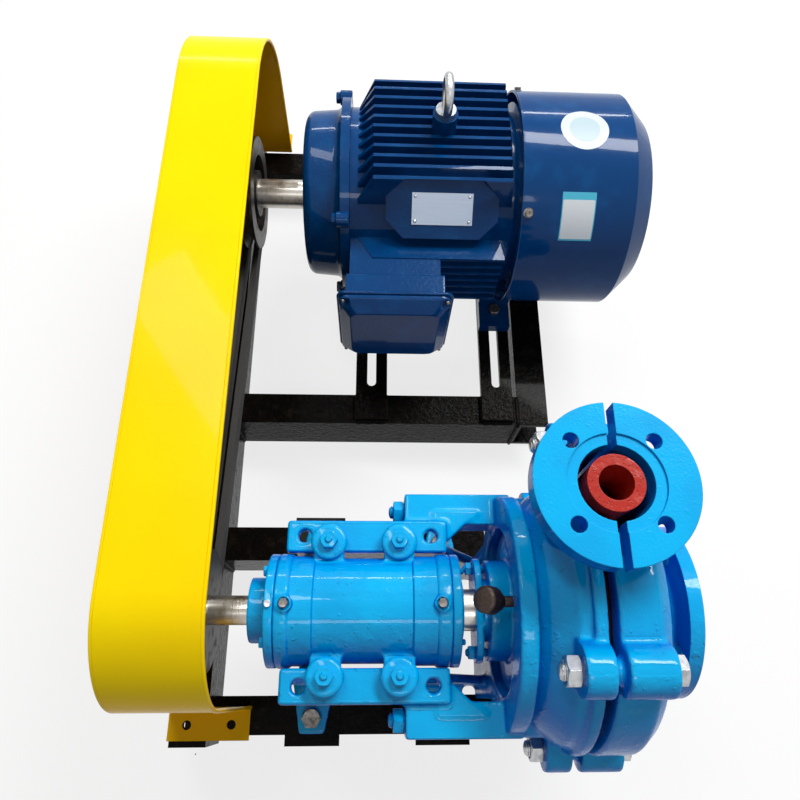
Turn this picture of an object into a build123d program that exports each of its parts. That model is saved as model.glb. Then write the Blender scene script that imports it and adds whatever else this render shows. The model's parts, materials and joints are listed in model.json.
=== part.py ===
from build123d import *
from math import atan2, cos, degrees, hypot, pi, radians, sin
import os

os.makedirs("parts", exist_ok=True)

# Lengths are in millimetres. The X axis is the pump shaft, and the origin is the centre of the suction
# face. The drive end is at negative X, +Y is the motor's side and +Z is up.

# Pump
suction_od = 165
suction_bore = 50
suction_circle_d = 125
suction_hole_d = 18
suction_flange_t = 14
suction_neck_r = 52
discharge_x = -98
discharge_y = 82
discharge_z = 176
discharge_od = 140
discharge_circle_d = 100
discharge_hole_d = 14
discharge_flange_t = 20
discharge_opening_d = 65
discharge_recess_d = 84
discharge_recess_depth = 2
flange_hole_count = 4
split_gap = 8
liner_r = 108
liner_half_width = 36
liner_wall = 9
liner_neck_d = 49
liner_bore = 30
casing_wall = 11
casing_back_wall = 11
rim_r = 131
rim_width = 12
liner_clearance = 0.4
impeller_r = 75
impeller_half_width = 21
shroud_t = 7
vane_count = 5
vane_t = 7
eye_r = 27
insert_r = 82
insert_t = 12
casing_bolt_d = 16
boss_r = 22

# Shaft line
shaft_d = 28
journal_d = 35
shaft_mid_d = 44
bearing_od = 72
bearing_width = 18
shaft_drive_end = -514
housing_r = 50
housing_drive_x = -388
housing_pump_x = -222
sleeve_r = 20
ring_x = -172
ring_t = 17
ring_r = 112
ring_opening_r = 80

# Base casting
axis_height = 197
bar_inner_y = 54
bar_outer_y = 86
bar_top_z = 18
bar_t = 15
bar_start_x = -383
bar_end_x = -223
bar_hole_spacing = 126
bar_hole_inset = 18
bar_hole_y = 70
bar_hole_d = 14
clamp_spacing = 69
clamp_x = -340
clamp_y = 62
foot_bolt_y = 102
foot_t = 16
drive_foot_x = -366
pump_foot_x = -212
pad_t = 4

# Skid of rolled channel
channel_h = 80
channel_w = 43
channel_web = 6
channel_flange = 8
skid_front_y = -133
skid_back_y = 796
left_rail_x = -533
right_rail_x = -51
cross_end_x = -150
motor_cross_y = 274
rear_cross_y = 706
bar_plate_t = 10
slide_bar_w = 44
slot_w = 12.5
slot_length = 170

# Motor of frame size 132, medium length
motor_y = 552
motor_height = 132
foot_span_x = 178
foot_span_y = 216
foot_to_shoulder = 89
motor_foot_x = -302
motor_hole_d = 12
motor_shaft_d = 38
motor_shaft_length = 118
barrel_r = 112
fin_r = 131
fin_corner_r = 78
fin_foot_h = 24
fin_t = 4.5
cover_r = 137.5
cover_t = 2
cover_gap = 13.5
frame_length = 209
fan_cover_length = 166

# Drive
pump_pitch_d = 112
motor_pitch_d = 140
groove_count = 3
groove_pitch = 15
groove_edge = 10
belt_top_w = 13
belt_h = 10

# Guard
guard_left_x = -535
guard_width = 95
guard_right_x = guard_left_x + guard_width
pulley_gap = 16
pulley_face_x = guard_right_x - pulley_gap
guard_front_y = -92
guard_back_y = 754
guard_top_z = 97
guard_front_r = 96
guard_back_r = 150
sheet_t = 2.5
tab_depth = 34
tab_hole_d = 10.5
tab_hole_spacing = 52

# Running and assembly clearances
running = 0.05
loose = 0.3
overrun = 5
first_hole_angle = 45
full_turn = 360

# Fasteners, as shares of the thread's diameter
head_flats_share = 1.5
head_height_share = 0.64
nut_height_share = 0.8
stud_end_share = 0.35

rail_top_z = -axis_height - pad_t
motor_z = rail_top_z + bar_plate_t + motor_height
foot_bolt_d = 16
clamp_bolt_d = 12


def slug(x0, x1, outer_r, inner_r=0, y=0, z=0):
    """A round bar or ring along X."""
    with BuildPart() as body:
        with BuildSketch(Plane.YZ.offset(x0)):
            with Locations((y, z)):
                Circle(outer_r)
                if inner_r:
                    Circle(inner_r, mode=Mode.SUBTRACT)
        extrude(amount=x1 - x0)
    return body.part


def post(x, y, z0, z1, outer_r, inner_r=0):
    """A round bar or ring along Z."""
    with BuildPart() as body:
        with BuildSketch(Plane.XY.offset(z0)):
            with Locations((x, y)):
                Circle(outer_r)
                if inner_r:
                    Circle(inner_r, mode=Mode.SUBTRACT)
        extrude(amount=z1 - z0)
    return body.part


def block(x0, x1, y0, y1, z0, z1):
    """A plain block between two corners."""
    with BuildPart() as body:
        with BuildSketch(Plane.XY.offset(min(z0, z1))):
            with Locations(((x0 + x1) / 2, (y0 + y1) / 2)):
                Rectangle(abs(x1 - x0), abs(y1 - y0))
        extrude(amount=abs(z1 - z0))
    return body.part


def turned(outline, y=0, z=0):
    """A body turned about an axis along X, from (along, radius) points."""
    with BuildPart() as body:
        with BuildSketch(Plane(origin=(0, y, z), x_dir=(1, 0, 0), z_dir=(0, -1, 0))):
            with BuildLine():
                Polyline(*outline, close=True)
            make_face()
        revolve(axis=Axis((0, y, z), (1, 0, 0)))
    return body.part


def plate(outline, plane, thickness):
    """A flat plate of any outline, on a plane."""
    with BuildPart() as body:
        with BuildSketch(plane):
            with BuildLine():
                Polyline(*outline, close=True)
            make_face()
        extrude(amount=thickness)
    return body.part


def hex_head(plane, thread_d, height, hole_r=0):
    """A hexagon standing on a plane, with a hole through it for a nut."""
    with BuildPart() as body:
        with BuildSketch(plane):
            RegularPolygon(radius=thread_d * head_flats_share / 2, side_count=6, major_radius=False)
            if hole_r:
                Circle(hole_r, mode=Mode.SUBTRACT)
        extrude(amount=height)
    return body.part


def hex_bolt(origin, out, thread_d, length):
    """A bolt whose head stands on its seat, and whose shank runs back from there."""
    seat = Plane(origin=origin, z_dir=out)
    with BuildPart() as body:
        add(hex_head(seat, thread_d, thread_d * head_height_share))
        with BuildSketch(seat):
            Circle(thread_d / 2 - running)
        extrude(amount=-length)
    return body.part


def hex_nut(origin, out, thread_d):
    """A nut that stands on its seat, round a thread."""
    return hex_head(Plane(origin=origin, z_dir=out), thread_d, thread_d * nut_height_share, thread_d / 2)


def both_sides(y):
    """A place on the front and on the back side of the shaft."""
    return (-y, y)


# Skid


def channel(origin, towards_tips, along, length):
    """A rolled channel, from the top corner of its web."""
    section = (
        (0, 0),
        (channel_w, 0),
        (channel_w, -channel_flange),
        (channel_web, -channel_flange),
        (channel_web, channel_flange - channel_h),
        (channel_w, channel_flange - channel_h),
        (channel_w, -channel_h),
        (0, -channel_h),
    )
    return plate(section, Plane(origin=origin, x_dir=towards_tips, z_dir=along), length)


left_web_x = left_rail_x + channel_w
right_web_x = right_rail_x - channel_w
front_cross_y = -120.5
back_cross_y = 83.5

with BuildPart() as left_rail:
    add(channel((left_web_x, skid_front_y, rail_top_z), (-1, 0, 0), (0, 1, 0), skid_back_y - skid_front_y))
    tab_hole_x = (guard_left_x + guard_right_x) / 2
    for hole_y in (guard_front_y - tab_depth / 2, guard_back_y + tab_depth / 2):
        for side in (-1, 1):
            if left_rail_x < tab_hole_x + side * tab_hole_spacing / 2 < left_web_x - channel_web:
                add(
                    post(
                        tab_hole_x + side * tab_hole_spacing / 2,
                        hole_y,
                        rail_top_z - channel_flange - overrun,
                        rail_top_z + overrun,
                        tab_hole_d / 2,
                    ),
                    mode=Mode.SUBTRACT,
                )
left_rail.part.label = "left_rail"
export_step(left_rail.part, "parts/left_rail.step")

with BuildPart() as right_rail:
    add(channel((right_web_x, skid_back_y, rail_top_z), (1, 0, 0), (0, -1, 0), skid_back_y - motor_cross_y))
right_rail.part.label = "right_rail"
export_step(right_rail.part, "parts/right_rail.step")

with BuildPart() as front_cross_member:
    add(channel((left_web_x, front_cross_y, rail_top_z), (0, 1, 0), (1, 0, 0), cross_end_x - left_web_x))
    for foot_x in (drive_foot_x, pump_foot_x):
        add(
            post(
                foot_x,
                -foot_bolt_y,
                rail_top_z - channel_flange - overrun,
                rail_top_z + overrun,
                foot_bolt_d / 2,
            ),
            mode=Mode.SUBTRACT,
        )
front_cross_member.part.label = "front_cross_member"
export_step(front_cross_member.part, "parts/front_cross_member.step")

with BuildPart() as pump_cross_member:
    add(channel((left_web_x, back_cross_y, rail_top_z), (0, 1, 0), (1, 0, 0), cross_end_x - left_web_x))
    for foot_x in (drive_foot_x, pump_foot_x):
        add(
            post(
                foot_x,
                foot_bolt_y,
                rail_top_z - channel_flange - overrun,
                rail_top_z + overrun,
                foot_bolt_d / 2,
            ),
            mode=Mode.SUBTRACT,
        )
pump_cross_member.part.label = "pump_cross_member"
export_step(pump_cross_member.part, "parts/pump_cross_member.step")

with BuildPart() as motor_cross_member:
    add(channel((left_web_x, motor_cross_y, rail_top_z), (0, 1, 0), (1, 0, 0), right_web_x - left_web_x))
motor_cross_member.part.label = "motor_cross_member"
export_step(motor_cross_member.part, "parts/motor_cross_member.step")

with BuildPart() as rear_cross_member:
    add(channel((left_web_x, rear_cross_y, rail_top_z), (0, 1, 0), (1, 0, 0), right_web_x - left_web_x))
rear_cross_member.part.label = "rear_cross_member"
export_step(rear_cross_member.part, "parts/rear_cross_member.step")

pad_half_length = 32
pad_overhang = 12
with BuildPart() as foot_pads:
    for foot_x in (drive_foot_x, pump_foot_x):
        for side in (-1, 1):
            near = back_cross_y if side > 0 else front_cross_y + channel_w
            far = back_cross_y + channel_w + pad_overhang if side > 0 else front_cross_y - pad_overhang
            add(
                block(
                    foot_x - pad_half_length,
                    foot_x + pad_half_length,
                    near,
                    far,
                    rail_top_z,
                    rail_top_z + pad_t,
                ),
            )
            add(
                post(
                    foot_x,
                    side * foot_bolt_y,
                    rail_top_z - overrun,
                    rail_top_z + pad_t + overrun,
                    foot_bolt_d / 2,
                ),
                mode=Mode.SUBTRACT,
            )
foot_pads.part.label = "foot_pads"
export_step(foot_pads.part, "parts/foot_pads.step")

# Slotted bars that the motor slides on, to tighten the belts
slot_shift = 32
bar_setback = 3
slide_bar_front_y = motor_cross_y + bar_setback
slide_bar_back_y = rear_cross_y + channel_w
slot_centres_y = tuple(motor_y - slot_shift + side * foot_span_y / 2 for side in (-1, 1))


def slide_bar(x):
    """A flat bar with two long slots, over one pair of motor feet."""
    with BuildPart() as body:
        with BuildSketch(Plane.XY.offset(rail_top_z)):
            with Locations((x, (slide_bar_front_y + slide_bar_back_y) / 2)):
                Rectangle(slide_bar_w, slide_bar_back_y - slide_bar_front_y)
            with Locations(*((x, y) for y in slot_centres_y)):
                SlotOverall(slot_length, slot_w, rotation=90, mode=Mode.SUBTRACT)
        extrude(amount=bar_plate_t)
    return body.part


with BuildPart() as slide_bars:
    add(slide_bar(motor_foot_x))
    add(slide_bar(motor_foot_x + foot_span_x))
slide_bars.part.label = "slide_bars"
export_step(slide_bars.part, "parts/slide_bars.step")

# Pump base casting
wall_inner_y = 58
wall_t = 10
wall_inset = 6
foot_inner_y = 56
foot_outer_y = 119
foot_half_length = 25
arm_start_x = -265
arm_inner_y = 84
arm_outer_y = 116
arm_top_z = 10
arm_bottom_z = -26
web_reach = 34
web_t = 12
low_wall_z = -120
skirt_half_y = 82
stud_y = 100
stud_z = -8
stud_d = 14
base_z = -axis_height

wall_outline = (
    (bar_start_x + wall_inset, base_z),
    (ring_x + ring_t / 2, base_z),
    (ring_x + ring_t / 2, low_wall_z),
    (bar_end_x - wall_inset, bar_top_z - bar_t),
    (bar_start_x + wall_inset, bar_top_z - bar_t),
)

with BuildPart() as pump_base:
    for side in both_sides(1):
        add(
            block(
                bar_start_x,
                bar_end_x,
                side * bar_inner_y,
                side * bar_outer_y,
                bar_top_z - bar_t,
                bar_top_z,
            ),
        )
        add(plate(wall_outline, Plane.XZ.offset(-side * wall_inner_y), -side * wall_t))
        for foot_x in (drive_foot_x, pump_foot_x):
            add(
                block(
                    foot_x - foot_half_length,
                    foot_x + foot_half_length,
                    side * foot_inner_y,
                    side * foot_outer_y,
                    base_z,
                    base_z + foot_t,
                )
            )
        add(
            block(
                arm_start_x,
                ring_x + ring_t,
                side * arm_inner_y,
                side * arm_outer_y,
                arm_bottom_z,
                arm_top_z,
            ),
        )
        web = (
            (bar_end_x - web_t, side * bar_inner_y),
            (bar_end_x - web_t, side * (arm_inner_y + web_t)),
            (bar_end_x + web_reach, side * (arm_inner_y + web_t)),
        )
        add(plate(web, Plane.XY.offset(bar_top_z - bar_t - web_t / 4), web_t))
    add(
        block(
            bar_start_x + wall_inset,
            bar_start_x + wall_inset + wall_t,
            -wall_inner_y,
            wall_inner_y,
            base_z,
            low_wall_z + wall_t,
        )
    )
    add(slug(ring_x, ring_x + ring_t, ring_r))
    add(block(ring_x, ring_x + ring_t, -skirt_half_y, skirt_half_y, base_z, 0))
    add(slug(ring_x - overrun, ring_x + ring_t + overrun, ring_opening_r), mode=Mode.SUBTRACT)
    for side in both_sides(1):
        for foot_x in (drive_foot_x, pump_foot_x):
            add(
                post(
                    foot_x,
                    side * foot_bolt_y,
                    base_z - overrun,
                    base_z + foot_t + overrun,
                    foot_bolt_d / 2,
                ),
                mode=Mode.SUBTRACT,
            )
        for hole_x in (bar_start_x + bar_hole_inset, bar_start_x + bar_hole_inset + bar_hole_spacing):
            add(
                post(
                    hole_x,
                    side * bar_hole_y,
                    bar_top_z - bar_t - overrun,
                    bar_top_z + overrun,
                    bar_hole_d / 2,
                ),
                mode=Mode.SUBTRACT,
            )
        for bolt_x in (clamp_x, clamp_x + clamp_spacing):
            add(
                post(
                    bolt_x,
                    side * clamp_y,
                    bar_top_z - bar_t - overrun,
                    bar_top_z + overrun,
                    clamp_bolt_d / 2,
                ),
                mode=Mode.SUBTRACT,
            )
        add(
            slug(arm_start_x - overrun, ring_x + ring_t + overrun, stud_d / 2, y=side * stud_y, z=stud_z),
            mode=Mode.SUBTRACT,
        )
pump_base.part.label = "pump_base"
export_step(pump_base.part, "parts/pump_base.step")

# Hold-down bolts, through feet, pads and channel flanges
hold_down_top_z = base_z + foot_t
hold_down_seat_z = rail_top_z - channel_flange
hold_down_length = hold_down_top_z - hold_down_seat_z + foot_bolt_d * (nut_height_share + stud_end_share)

with BuildPart() as hold_down_bolts:
    for foot_x in (drive_foot_x, pump_foot_x):
        for y in both_sides(foot_bolt_y):
            add(hex_bolt((foot_x, y, hold_down_top_z), (0, 0, 1), foot_bolt_d, hold_down_length))
    for foot_x in (drive_foot_x, pump_foot_x):
        for y in both_sides(foot_bolt_y):
            add(hex_nut((foot_x, y, hold_down_seat_z), (0, 0, -1), foot_bolt_d))
hold_down_bolts.part.label = "hold_down_bolts"
export_step(hold_down_bolts.part, "parts/hold_down_bolts.step")

# Bearing housing, hung by its ears on the bars of the base
housing_relief = 3
housing_bore_r = bearing_od / 2 + housing_relief
cover_spigot = 6
bearing_seat_depth = bearing_width + cover_spigot
ear_half_width = 15
ear_t = 9
ear_inner_y = 30
ear_outer_y = 64
ear_slot_length = 24
end_rim_r = 54
end_rim_width = 12
seat_r = bearing_od / 2 + running
clamp_xs = (clamp_x, clamp_x + clamp_spacing)
saddle_half_width = 26
saddle_drop = 8

housing_outline = (
    (housing_drive_x, seat_r),
    (housing_drive_x, end_rim_r),
    (housing_drive_x + end_rim_width, end_rim_r),
    (housing_drive_x + end_rim_width + end_rim_r - housing_r, housing_r),
    (housing_pump_x - end_rim_width - end_rim_r + housing_r, housing_r),
    (housing_pump_x - end_rim_width, end_rim_r),
    (housing_pump_x, end_rim_r),
    (housing_pump_x, seat_r),
    (housing_pump_x - bearing_seat_depth, seat_r),
    (housing_pump_x - bearing_seat_depth, housing_bore_r),
    (housing_drive_x + bearing_seat_depth, housing_bore_r),
    (housing_drive_x + bearing_seat_depth, seat_r),
)

plug_r = 5
plug_head_r = 7
plug_head_h = 5
plug_boss_r = 8
plug_setback = 10
plug_top_z = 56
plug_x = (housing_drive_x + plug_setback, housing_pump_x - plug_setback)
cover_screw_d = 6
cover_screw_radius = 46
cover_screw_count = 4

with BuildPart() as bearing_housing:
    add(turned(housing_outline))
    for x in clamp_xs:
        for side in both_sides(1):
            with BuildSketch(Plane.XY.offset(bar_top_z)):
                with Locations((x, side * (ear_inner_y + ear_outer_y) / 2)):
                    Rectangle(2 * ear_half_width, ear_outer_y - ear_inner_y)
                with Locations((x, side * ear_outer_y)):
                    Circle(ear_half_width)
                with Locations((x, side * clamp_y)):
                    SlotOverall(ear_slot_length, clamp_bolt_d + 2 * loose, mode=Mode.SUBTRACT)
            extrude(amount=ear_t)
    add(
        block(
            clamp_x - ear_half_width,
            clamp_x + clamp_spacing + ear_half_width,
            -saddle_half_width,
            saddle_half_width,
            -housing_r - saddle_drop,
            saddle_drop - housing_r,
        )
    )
    for x in plug_x:
        add(post(x, 0, housing_bore_r, plug_top_z, plug_boss_r))
    add(slug(housing_drive_x, housing_pump_x, housing_bore_r), mode=Mode.SUBTRACT)
    add(slug(housing_drive_x + bearing_seat_depth, housing_drive_x, housing_bore_r + plug_r, seat_r))
    add(slug(housing_pump_x, housing_pump_x - bearing_seat_depth, housing_bore_r + plug_r, seat_r))
    for x in plug_x:
        add(post(x, 0, housing_bore_r - plug_r, plug_top_z + overrun, plug_r), mode=Mode.SUBTRACT)
    with Locations(Plane.YZ.offset(housing_drive_x), Plane.YZ.offset(housing_pump_x)):
        with PolarLocations(cover_screw_radius, cover_screw_count, start_angle=first_hole_angle):
            Cylinder(cover_screw_d / 2, 2 * bearing_seat_depth, mode=Mode.SUBTRACT)
bearing_housing.part.label = "bearing_housing"
export_step(bearing_housing.part, "parts/bearing_housing.step")

# End covers with labyrinth bores
seal_step = 1.5
seal_r = journal_d / 2 - seal_step
cover_flange_t = 9
drive_boss_r = 31
drive_boss_length = 18
pump_boss_length = 4


def end_cover(face_x, out, boss_length):
    """A bearing cover; out is the way that it faces along X."""
    return turned(
        (
            (face_x, seal_r + loose),
            (face_x - out * cover_spigot, seal_r + loose),
            (face_x - out * cover_spigot, bearing_od / 2),
            (face_x, bearing_od / 2),
            (face_x, end_rim_r - loose),
            (face_x + out * cover_flange_t, end_rim_r - loose),
            (face_x + out * cover_flange_t, drive_boss_r + running),
            (face_x + out * (cover_flange_t + boss_length), drive_boss_r),
            (face_x + out * (cover_flange_t + boss_length), seal_r + loose),
        )
    )


def cover_holes(face_x, out):
    """The screw holes of a bearing cover."""
    with BuildPart() as holes:
        with Locations(Plane.YZ.offset(face_x + out * cover_flange_t / 2)):
            with PolarLocations(cover_screw_radius, cover_screw_count, start_angle=first_hole_angle):
                Cylinder(cover_screw_d / 2, cover_flange_t + overrun)
    return holes.part


with BuildPart() as drive_end_cover:
    add(end_cover(housing_drive_x, -1, drive_boss_length))
    add(cover_holes(housing_drive_x, -1), mode=Mode.SUBTRACT)
drive_end_cover.part.label = "drive_end_cover"
export_step(drive_end_cover.part, "parts/drive_end_cover.step")

with BuildPart() as pump_end_cover:
    add(end_cover(housing_pump_x, 1, pump_boss_length))
    add(cover_holes(housing_pump_x, 1), mode=Mode.SUBTRACT)
pump_end_cover.part.label = "pump_end_cover"
export_step(pump_end_cover.part, "parts/pump_end_cover.step")

cover_screw_length = 26
with BuildPart() as cover_screws:
    for face_x, out in ((housing_drive_x, -1), (housing_pump_x, 1)):
        for k in range(cover_screw_count):
            angle = radians(first_hole_angle + k * full_turn / cover_screw_count)
            seat = (
                face_x + out * cover_flange_t,
                cover_screw_radius * cos(angle),
                cover_screw_radius * sin(angle),
            )
            add(hex_bolt(seat, (out, 0, 0), cover_screw_d, cover_screw_length))
cover_screws.part.label = "cover_screws"
export_step(cover_screws.part, "parts/cover_screws.step")

with BuildPart() as grease_plugs:
    for x in plug_x:
        add(post(x, 0, housing_bore_r, plug_top_z, plug_r - running))
        add(post(x, 0, plug_top_z, plug_top_z + plug_head_h, plug_head_r))
grease_plugs.part.label = "grease_plugs"
export_step(grease_plugs.part, "parts/grease_plugs.step")

clamp_washer_r = 16
clamp_washer_t = 6
clamp_seat_z = bar_top_z + ear_t
with BuildPart() as clamp_bolts:
    for x in clamp_xs:
        for y in both_sides(clamp_y):
            add(
                post(
                    x,
                    y,
                    clamp_seat_z,
                    clamp_seat_z + clamp_washer_t,
                    clamp_washer_r,
                    clamp_bolt_d / 2 + running,
                ),
            )
    for x in clamp_xs:
        for y in both_sides(clamp_y):
            add(
                hex_bolt(
                    (x, y, clamp_seat_z + clamp_washer_t),
                    (0, 0, 1),
                    clamp_bolt_d,
                    clamp_seat_z + clamp_washer_t - bar_top_z + bar_t,
                )
            )
clamp_bolts.part.label = "clamp_bolts"
export_step(clamp_bolts.part, "parts/clamp_bolts.step")

# Bearings
bearing_inner_r = 22
bearing_outer_inner_r = 31
roller_count = 10
bearing_starts = (housing_drive_x + cover_spigot, housing_pump_x - bearing_seat_depth)

with BuildPart() as bearing_outer_rings:
    for x in bearing_starts:
        add(slug(x, x + bearing_width, bearing_od / 2, bearing_outer_inner_r))
bearing_outer_rings.part.label = "bearing_outer_rings"
export_step(bearing_outer_rings.part, "parts/bearing_outer_rings.step")

roller_path_r = (bearing_inner_r + bearing_outer_inner_r) / 2
roller_r = (bearing_outer_inner_r - bearing_inner_r) / 2 - running
with BuildPart() as bearing_inner_rings:
    for x in bearing_starts:
        add(slug(x, x + bearing_width, bearing_inner_r, journal_d / 2 + running))
    for x in bearing_starts:
        for k in range(roller_count):
            angle = radians(k * full_turn / roller_count)
            add(
                slug(
                    x + running,
                    x + bearing_width - running,
                    roller_r,
                    y=roller_path_r * cos(angle),
                    z=roller_path_r * sin(angle),
                )
            )
bearing_inner_rings.part.label = "bearing_inner_rings"
export_step(bearing_inner_rings.part, "parts/bearing_inner_rings.step")

# Shaft, sleeve, impeller
impeller_back_x = discharge_x - impeller_half_width
impeller_front_x = discharge_x + impeller_half_width
sleeve_end_x = housing_pump_x + cover_flange_t + pump_boss_length + 2 * loose
shaft_thread_d = 22
shaft_seal_r = seal_r - loose / 2
pump_journal_x = housing_pump_x - bearing_seat_depth
drive_journal_end_x = housing_drive_x + cover_spigot + bearing_width
drive_seal_end_x = housing_drive_x - cover_flange_t - drive_boss_length - loose
key_w = 8
key_h = 7
key_seat = 4

shaft_outline = (
    (shaft_drive_end, 0),
    (shaft_drive_end, shaft_d / 2),
    (drive_seal_end_x, shaft_d / 2),
    (drive_seal_end_x, shaft_seal_r),
    (housing_drive_x + cover_spigot, shaft_seal_r),
    (housing_drive_x + cover_spigot, journal_d / 2),
    (drive_journal_end_x, journal_d / 2),
    (drive_journal_end_x, shaft_mid_d / 2),
    (pump_journal_x, shaft_mid_d / 2),
    (pump_journal_x, journal_d / 2),
    (pump_journal_x + bearing_width, journal_d / 2),
    (pump_journal_x + bearing_width, shaft_seal_r),
    (sleeve_end_x, shaft_seal_r),
    (sleeve_end_x, shaft_d / 2),
    (impeller_back_x, shaft_d / 2),
    (impeller_back_x, shaft_thread_d / 2),
    (discharge_x, shaft_thread_d / 2),
    (discharge_x, 0),
)

pump_pulley_width = 2 * groove_edge + (groove_count - 1) * groove_pitch
pulley_end_x = pulley_face_x - pump_pulley_width

with BuildPart() as pump_shaft:
    add(turned(shaft_outline))
    key_seat_z = shaft_d / 2 - key_seat
    add(
        block(pulley_end_x, pulley_face_x, -key_w / 2, key_w / 2, key_seat_z, shaft_d),
        mode=Mode.SUBTRACT,
    )
pump_shaft.part.label = "pump_shaft"
export_step(pump_shaft.part, "parts/pump_shaft.step")

with BuildPart() as pump_pulley_key:
    add(
        block(
            pulley_end_x,
            pulley_face_x,
            running - key_w / 2,
            key_w / 2 - running,
            key_seat_z,
            key_seat_z + key_h,
        ),
    )
pump_pulley_key.part.label = "pump_pulley_key"
export_step(pump_pulley_key.part, "parts/pump_pulley_key.step")

with BuildPart() as shaft_sleeve:
    add(slug(sleeve_end_x, impeller_back_x, sleeve_r, shaft_d / 2 + running))
shaft_sleeve.part.label = "shaft_sleeve"
export_step(shaft_sleeve.part, "parts/shaft_sleeve.step")

vane_start_r = 26
vane_sweep = 75
hub_r = 19


def vane_point(radius, share, angle):
    """A point on a vane's back-swept line, share of the way along it."""
    turn = radians(angle - vane_sweep * share)
    return (radius * cos(turn), radius * sin(turn))


def vane(angle):
    """One curved vane, between two arcs, in the YZ plane."""
    mid_r = (vane_start_r + impeller_r) / 2
    half_start = degrees(vane_t / 2 / vane_start_r)
    half_mid = degrees(vane_t / 2 / mid_r)
    half_end = degrees(vane_t / 2 / impeller_r)
    with BuildSketch(Plane.YZ.offset(impeller_back_x + shroud_t)) as face:
        with BuildLine():
            first = vane_point(vane_start_r, 0, angle + half_start)
            last = vane_point(impeller_r, 1, angle + half_end)
            inner_first = vane_point(vane_start_r, 0, angle - half_start)
            inner_last = vane_point(impeller_r, 1, angle - half_end)
            ThreePointArc(first, vane_point(mid_r, 1 / 2, angle + half_mid), last)
            Line(last, inner_last)
            ThreePointArc(inner_last, vane_point(mid_r, 1 / 2, angle - half_mid), inner_first)
            Line(inner_first, first)
        make_face()
    return face.sketch


with BuildPart() as impeller:
    add(slug(impeller_back_x, impeller_back_x + shroud_t, impeller_r))
    add(slug(impeller_front_x - shroud_t, impeller_front_x, impeller_r, eye_r))
    add(slug(impeller_back_x, discharge_x, hub_r))
    for k in range(vane_count):
        extrude(vane(k * full_turn / vane_count), amount=impeller_front_x - impeller_back_x - 2 * shroud_t)
    add(slug(impeller_back_x - overrun, discharge_x, shaft_thread_d / 2 + running), mode=Mode.SUBTRACT)
impeller.part.label = "impeller"
export_step(impeller.part, "parts/impeller.step")

# Stuffing box, gland and packing
box_flange_r = 76
box_flange_t = 9
box_hub_r = 48
box_bore_r = 30
box_length = 22
packing_stop = 4
packing_end_x = ring_x + ring_t + packing_stop
packing_ring_w = 6
packing_count = 4
lantern_w = 6
box_inner_x = discharge_x - liner_half_width
box_flange_x = ring_x + ring_t - box_flange_t
box_face_x = box_flange_x - box_length
stuffing_opening_r = 40
gland_stud_y = 40
gland_stud_d = 8
gland_t = 7
gland_follower = 9
gland_w = 50
gland_length = 100
cup_z = 68
cup_pipe_r = 5

with BuildPart() as stuffing_box:
    add(
        turned(
            (
                (box_face_x, box_bore_r),
                (box_face_x, box_hub_r),
                (box_flange_x, box_hub_r),
                (box_flange_x, box_flange_r),
                (ring_x + ring_t, box_flange_r),
                (ring_x + ring_t, stuffing_opening_r - running),
                (box_inner_x, stuffing_opening_r - running),
                (box_inner_x, sleeve_r + loose),
                (packing_end_x, sleeve_r + loose),
                (packing_end_x, box_bore_r),
            )
        )
    )
    for y in both_sides(gland_stud_y):
        add(slug(box_face_x - overrun, box_flange_x, gland_stud_d / 2, y=y), mode=Mode.SUBTRACT)
    add(slug(box_flange_x - overrun, ring_x + ring_t - loose, cup_pipe_r, z=cup_z), mode=Mode.SUBTRACT)
stuffing_box.part.label = "stuffing_box"
export_step(stuffing_box.part, "parts/stuffing_box.step")

packing_start_x = packing_end_x - packing_count * packing_ring_w - lantern_w
with BuildPart() as packing_rings:
    for k in range(packing_count):
        start = packing_start_x + k * packing_ring_w + (lantern_w if k >= packing_count / 2 else 0)
        add(slug(start + running, start + packing_ring_w, box_bore_r - running, sleeve_r + loose))
packing_rings.part.label = "packing_rings"
export_step(packing_rings.part, "parts/packing_rings.step")

lantern_start_x = packing_start_x + packing_count / 2 * packing_ring_w
with BuildPart() as lantern_ring:
    add(slug(lantern_start_x + running, lantern_start_x + lantern_w, box_bore_r - running, sleeve_r + loose))
lantern_ring.part.label = "lantern_ring"
export_step(lantern_ring.part, "parts/lantern_ring.step")

gland_inner_x = packing_start_x
gland_face_x = gland_inner_x - gland_follower
with BuildPart() as gland:
    add(slug(gland_face_x, gland_inner_x, box_bore_r - 2 * running, sleeve_r + loose))
    with BuildSketch(Plane.YZ.offset(gland_face_x - gland_t)):
        SlotOverall(gland_length, gland_w)
        Circle(sleeve_r + loose, mode=Mode.SUBTRACT)
        with Locations(*((y, 0) for y in both_sides(gland_stud_y))):
            Circle(gland_stud_d / 2 + loose, mode=Mode.SUBTRACT)
    extrude(amount=gland_t)
gland.part.label = "gland"
export_step(gland.part, "parts/gland.step")

gland_stud_length = box_flange_x - gland_face_x + gland_t + gland_stud_d * (nut_height_share + stud_end_share)
with BuildPart() as gland_studs:
    for y in both_sides(gland_stud_y):
        add(slug(box_flange_x - gland_stud_length, box_flange_x - running, gland_stud_d / 2 - running, y=y))
    for y in both_sides(gland_stud_y):
        add(hex_nut((gland_face_x - gland_t, y, 0), (-1, 0, 0), gland_stud_d))
gland_studs.part.label = "gland_studs"
export_step(gland_studs.part, "parts/gland_studs.step")

# Grease cup on its pipe
cup_reach = 20
cup_body_r = 9
cap_length = 16
cap_r = 12.5
cap_wall = 2.5

cup_elbow_r = 7.5
cup_neck = 8
cup_lean = 40
cup_elbow_x = box_flange_x - cup_reach
cup_axis = (-sin(radians(cup_lean)), 0, cos(radians(cup_lean)))
cup_plane = Plane(origin=(cup_elbow_x, 0, cup_z), z_dir=cup_axis)

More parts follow.
